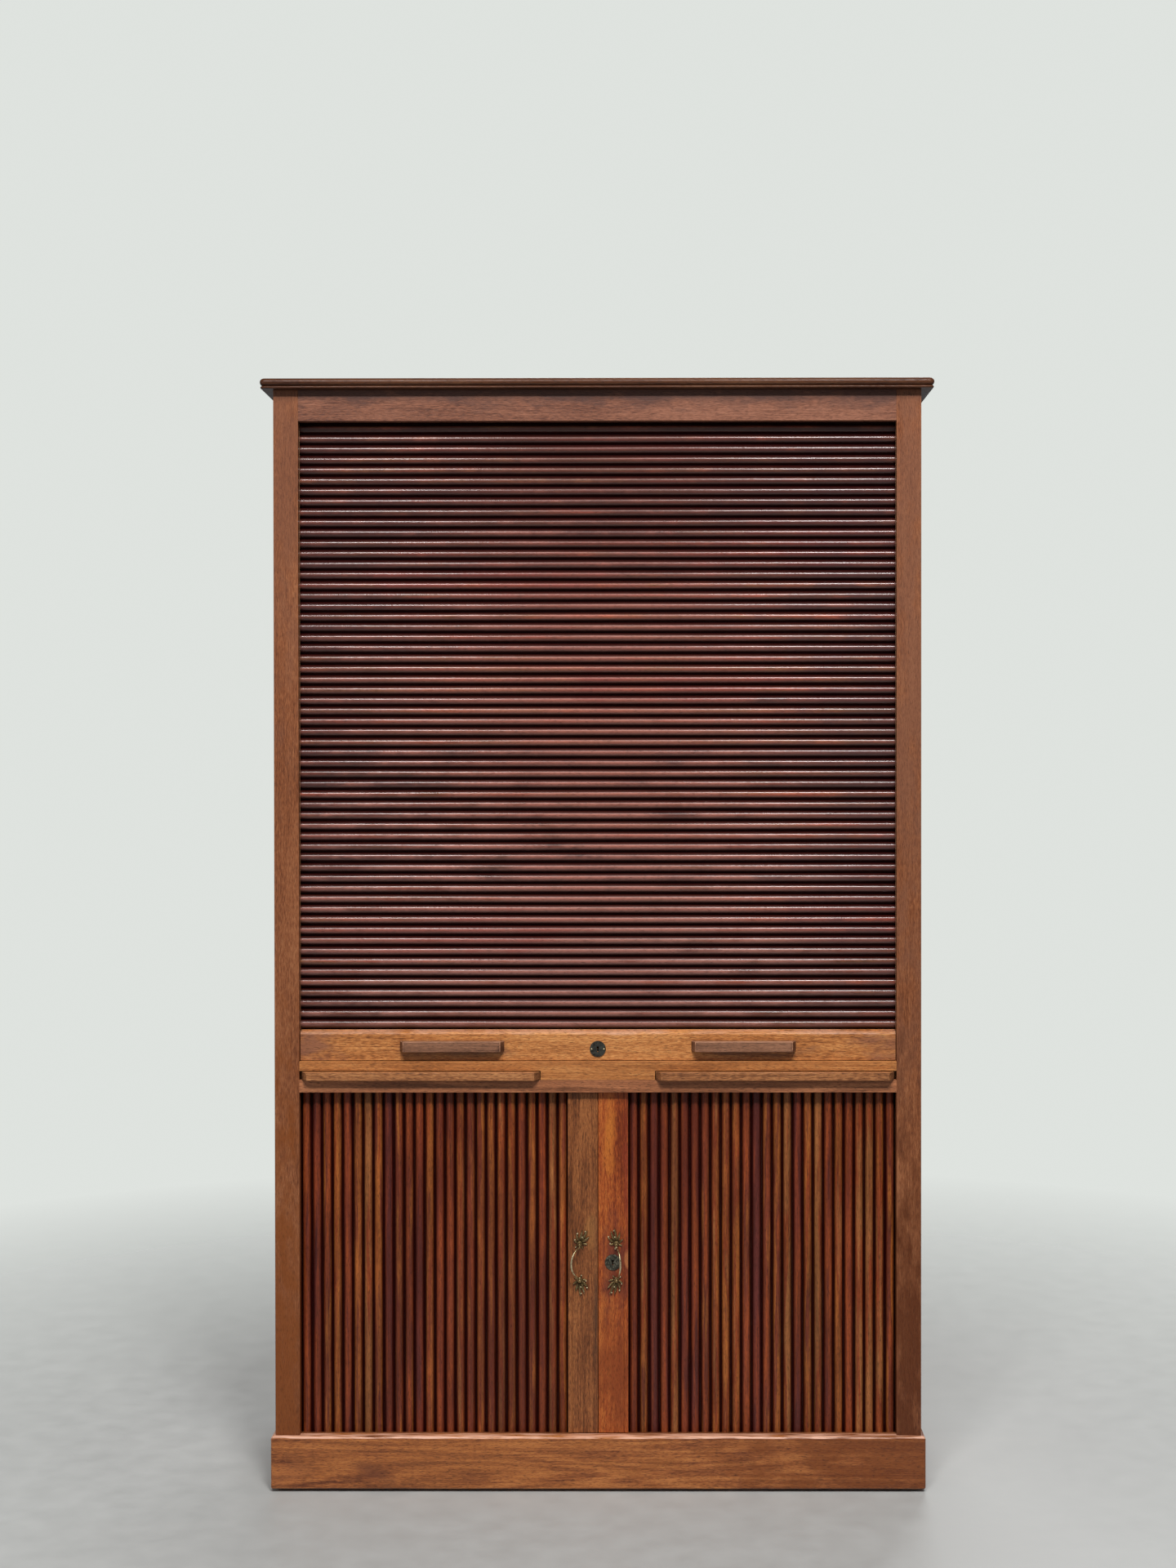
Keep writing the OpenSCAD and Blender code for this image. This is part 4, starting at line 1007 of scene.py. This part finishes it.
PEG_Y = 110 * MM
PEGGED_SHELVES = (
    # shelf, distance of its pegs from the middle, half of a peg's length
    ("upper_shelf_low", 534 * MM, 10 * MM),
    ("upper_shelf_high", 534 * MM, 10 * MM),
    ("lower_shelf", 532 * MM, 8 * MM),
)


def peg_pieces():
    """Shelf pegs with rounded ends."""
    bm = bmesh.new()
    bm.verts.layers.float.new("rise")
    r = 3 * MM
    end = 0.8 * MM
    for shelf, x, half in PEGGED_SHELVES:
        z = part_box(shelf)[0].z - r
        profile = [(r - end, -half), (r, end - half), (r, half - end), (r - end, half)]
        for px in (-x, x):
            for py in (-PEG_Y, PEG_Y):
                lathe(bm, profile, (px, py, z), (1, 0, 0), sides=20, rise=0.7)
    settle(to_object(bm, "shelf_pegs_finished", brass, smooth_under=40), "case", "brass", "shelf_pegs")


def glide_pieces():
    """Four turned glides with a rounded lower edge."""
    low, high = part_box("glides")
    r = 16 * MM
    round_r = 2 * MM
    chamfer = 0.5 * MM
    foot = [(r - round_r + round_r * c, round_r + round_r * s) for c, s in arc(1.0, -90, 0, 5)]
    profile = foot + [(r, high.z - chamfer), (r - chamfer, high.z)]
    bm = bmesh.new()
    bm.verts.layers.float.new("rise")
    for x in (low.x + r, high.x - r):
        for y in (low.y + r, high.y - r):
            lathe(bm, profile, (x, y, 0), (0, 0, 1), sides=40, rise=0.3)
    settle(to_object(bm, "glides_finished", steel, smooth_under=40), "case", "steel", "glides")


rail_pin_pieces()
back_screw_pieces()
peg_pieces()
glide_pieces()


# ---- Floor, light and camera ----

def floor_material():
    """Pale stone-grey floor that fades out far from the object."""
    n = Nodes("studio_floor")
    cloud = n.cells(60, 60, 4.0)
    colour = n.mix(n.span(cloud, 0.3, 0.7), (0.40, 0.405, 0.395), (0.44, 0.445, 0.435))
    material = n.finish(colour, n.span(cloud, 0.3, 0.7, 0.45, 0.6), n.cells(6, 6, 3.0), 0.1)
    far = n.add("ShaderNodeVectorMath", {0: n.place}, operation="LENGTH").outputs["Value"]
    clear = n.add("ShaderNodeBsdfTransparent")
    fade = n.add("ShaderNodeMixShader", {0: n.span(far, 0.9, 2.9), 1: n.shader.outputs[0], 2: clear.outputs[0]})
    n.tree.links.new(fade.outputs[0], n.tree.nodes["Material Output"].inputs["Surface"])
    return material


FLOOR_R = 6.0
FLOOR_SIDES = 96


def floor():
    bm = bmesh.new()
    turns = [2 * math.pi * i / FLOOR_SIDES for i in range(FLOOR_SIDES)]
    rim = [(FLOOR_R * math.cos(a), FLOOR_R * math.sin(a), 0) for a in turns]
    bm.faces.new([bm.verts.new(p) for p in rim])
    piece = to_object(bm, "floor", floor_material())


def area_light(name, place, target, size, power, colour=(1, 1, 1), mirrored=True):
    data = bpy.data.lights.new(name, "AREA")
    data.shape = "RECTANGLE"
    data.size, data.size_y = size
    data.energy = power
    data.color = colour
    light = bpy.data.objects.new(name, data)
    light.location = place
    light.visible_glossy = mirrored
    light.rotation_euler = (Vector(target) - Vector(place)).to_track_quat("-Z", "Y").to_euler()
    bpy.context.scene.collection.objects.link(light)


def studio():
    """Soft light from above, two small lamps for the slats' highlights, and a plain pale backdrop."""
    area_light("key", (0.4, -3.4, 5.3), (0, 0, 1.1), (2.4, 1.4), 200, (1.0, 0.985, 0.96), False)
    area_light("left_lamp", (-0.90, -3.6, 4.6), (-0.4, -0.2, 1.2), (0.6, 0.3), 62)
    area_light("right_lamp", (0.78, -3.6, 4.6), (0.4, -0.2, 1.2), (0.7, 0.3), 82)
    area_light("fill", (-3.2, -3.2, 1.8), (0, 0, 1.0), (2.0, 2.0), 12, (0.95, 0.97, 1.0))
    area_light("back_fill", (0.6, 3.6, 3.2), (0, 0, 1.0), (2.4, 2.0), 90)
    world = bpy.data.worlds.new("studio")
    world.use_nodes = True
    bpy.context.scene.world = world
    nodes, links = world.node_tree.nodes, world.node_tree.links
    ambient = nodes["Background"]
    ambient.inputs["Color"].default_value = (0.97, 0.985, 1.0, 1.0)
    ambient.inputs["Strength"].default_value = 0.2
    backdrop = nodes.new("ShaderNodeBackground")
    backdrop.inputs["Color"].default_value = (0.735, 0.765, 0.735, 1.0)
    choice = nodes.new("ShaderNodeMixShader")
    links.new(nodes.new("ShaderNodeLightPath").outputs["Is Camera Ray"], choice.inputs[0])
    links.new(ambient.outputs[0], choice.inputs[1])
    links.new(backdrop.outputs[0], choice.inputs[2])
    links.new(choice.outputs[0], nodes["World Output"].inputs["Surface"])
    bpy.context.scene.view_settings.view_transform = "Standard"


def camera():
    """The camera that the photo was taken with, fitted to the cabinet's corners."""
    data = bpy.data.cameras.new("camera")
    data.sensor_width = 36
    data.lens = 49.9
    data.shift_x = -0.0296
    data.shift_y = -0.0060
    data.clip_start, data.clip_end = 0.05, 60
    view = bpy.data.objects.new("camera", data)
    turn = [Matrix.Rotation(math.radians(a), 4, axis) for a, axis in ((0.24, "Z"), (89.504, "X"), (-0.054, "Z"))]
    view.matrix_world = Matrix.Translation((0.0823, -4.087, 1.3163)) @ turn[0] @ turn[1] @ turn[2]
    bpy.context.scene.collection.objects.link(view)
    bpy.context.scene.camera = view


floor()
studio()
camera()
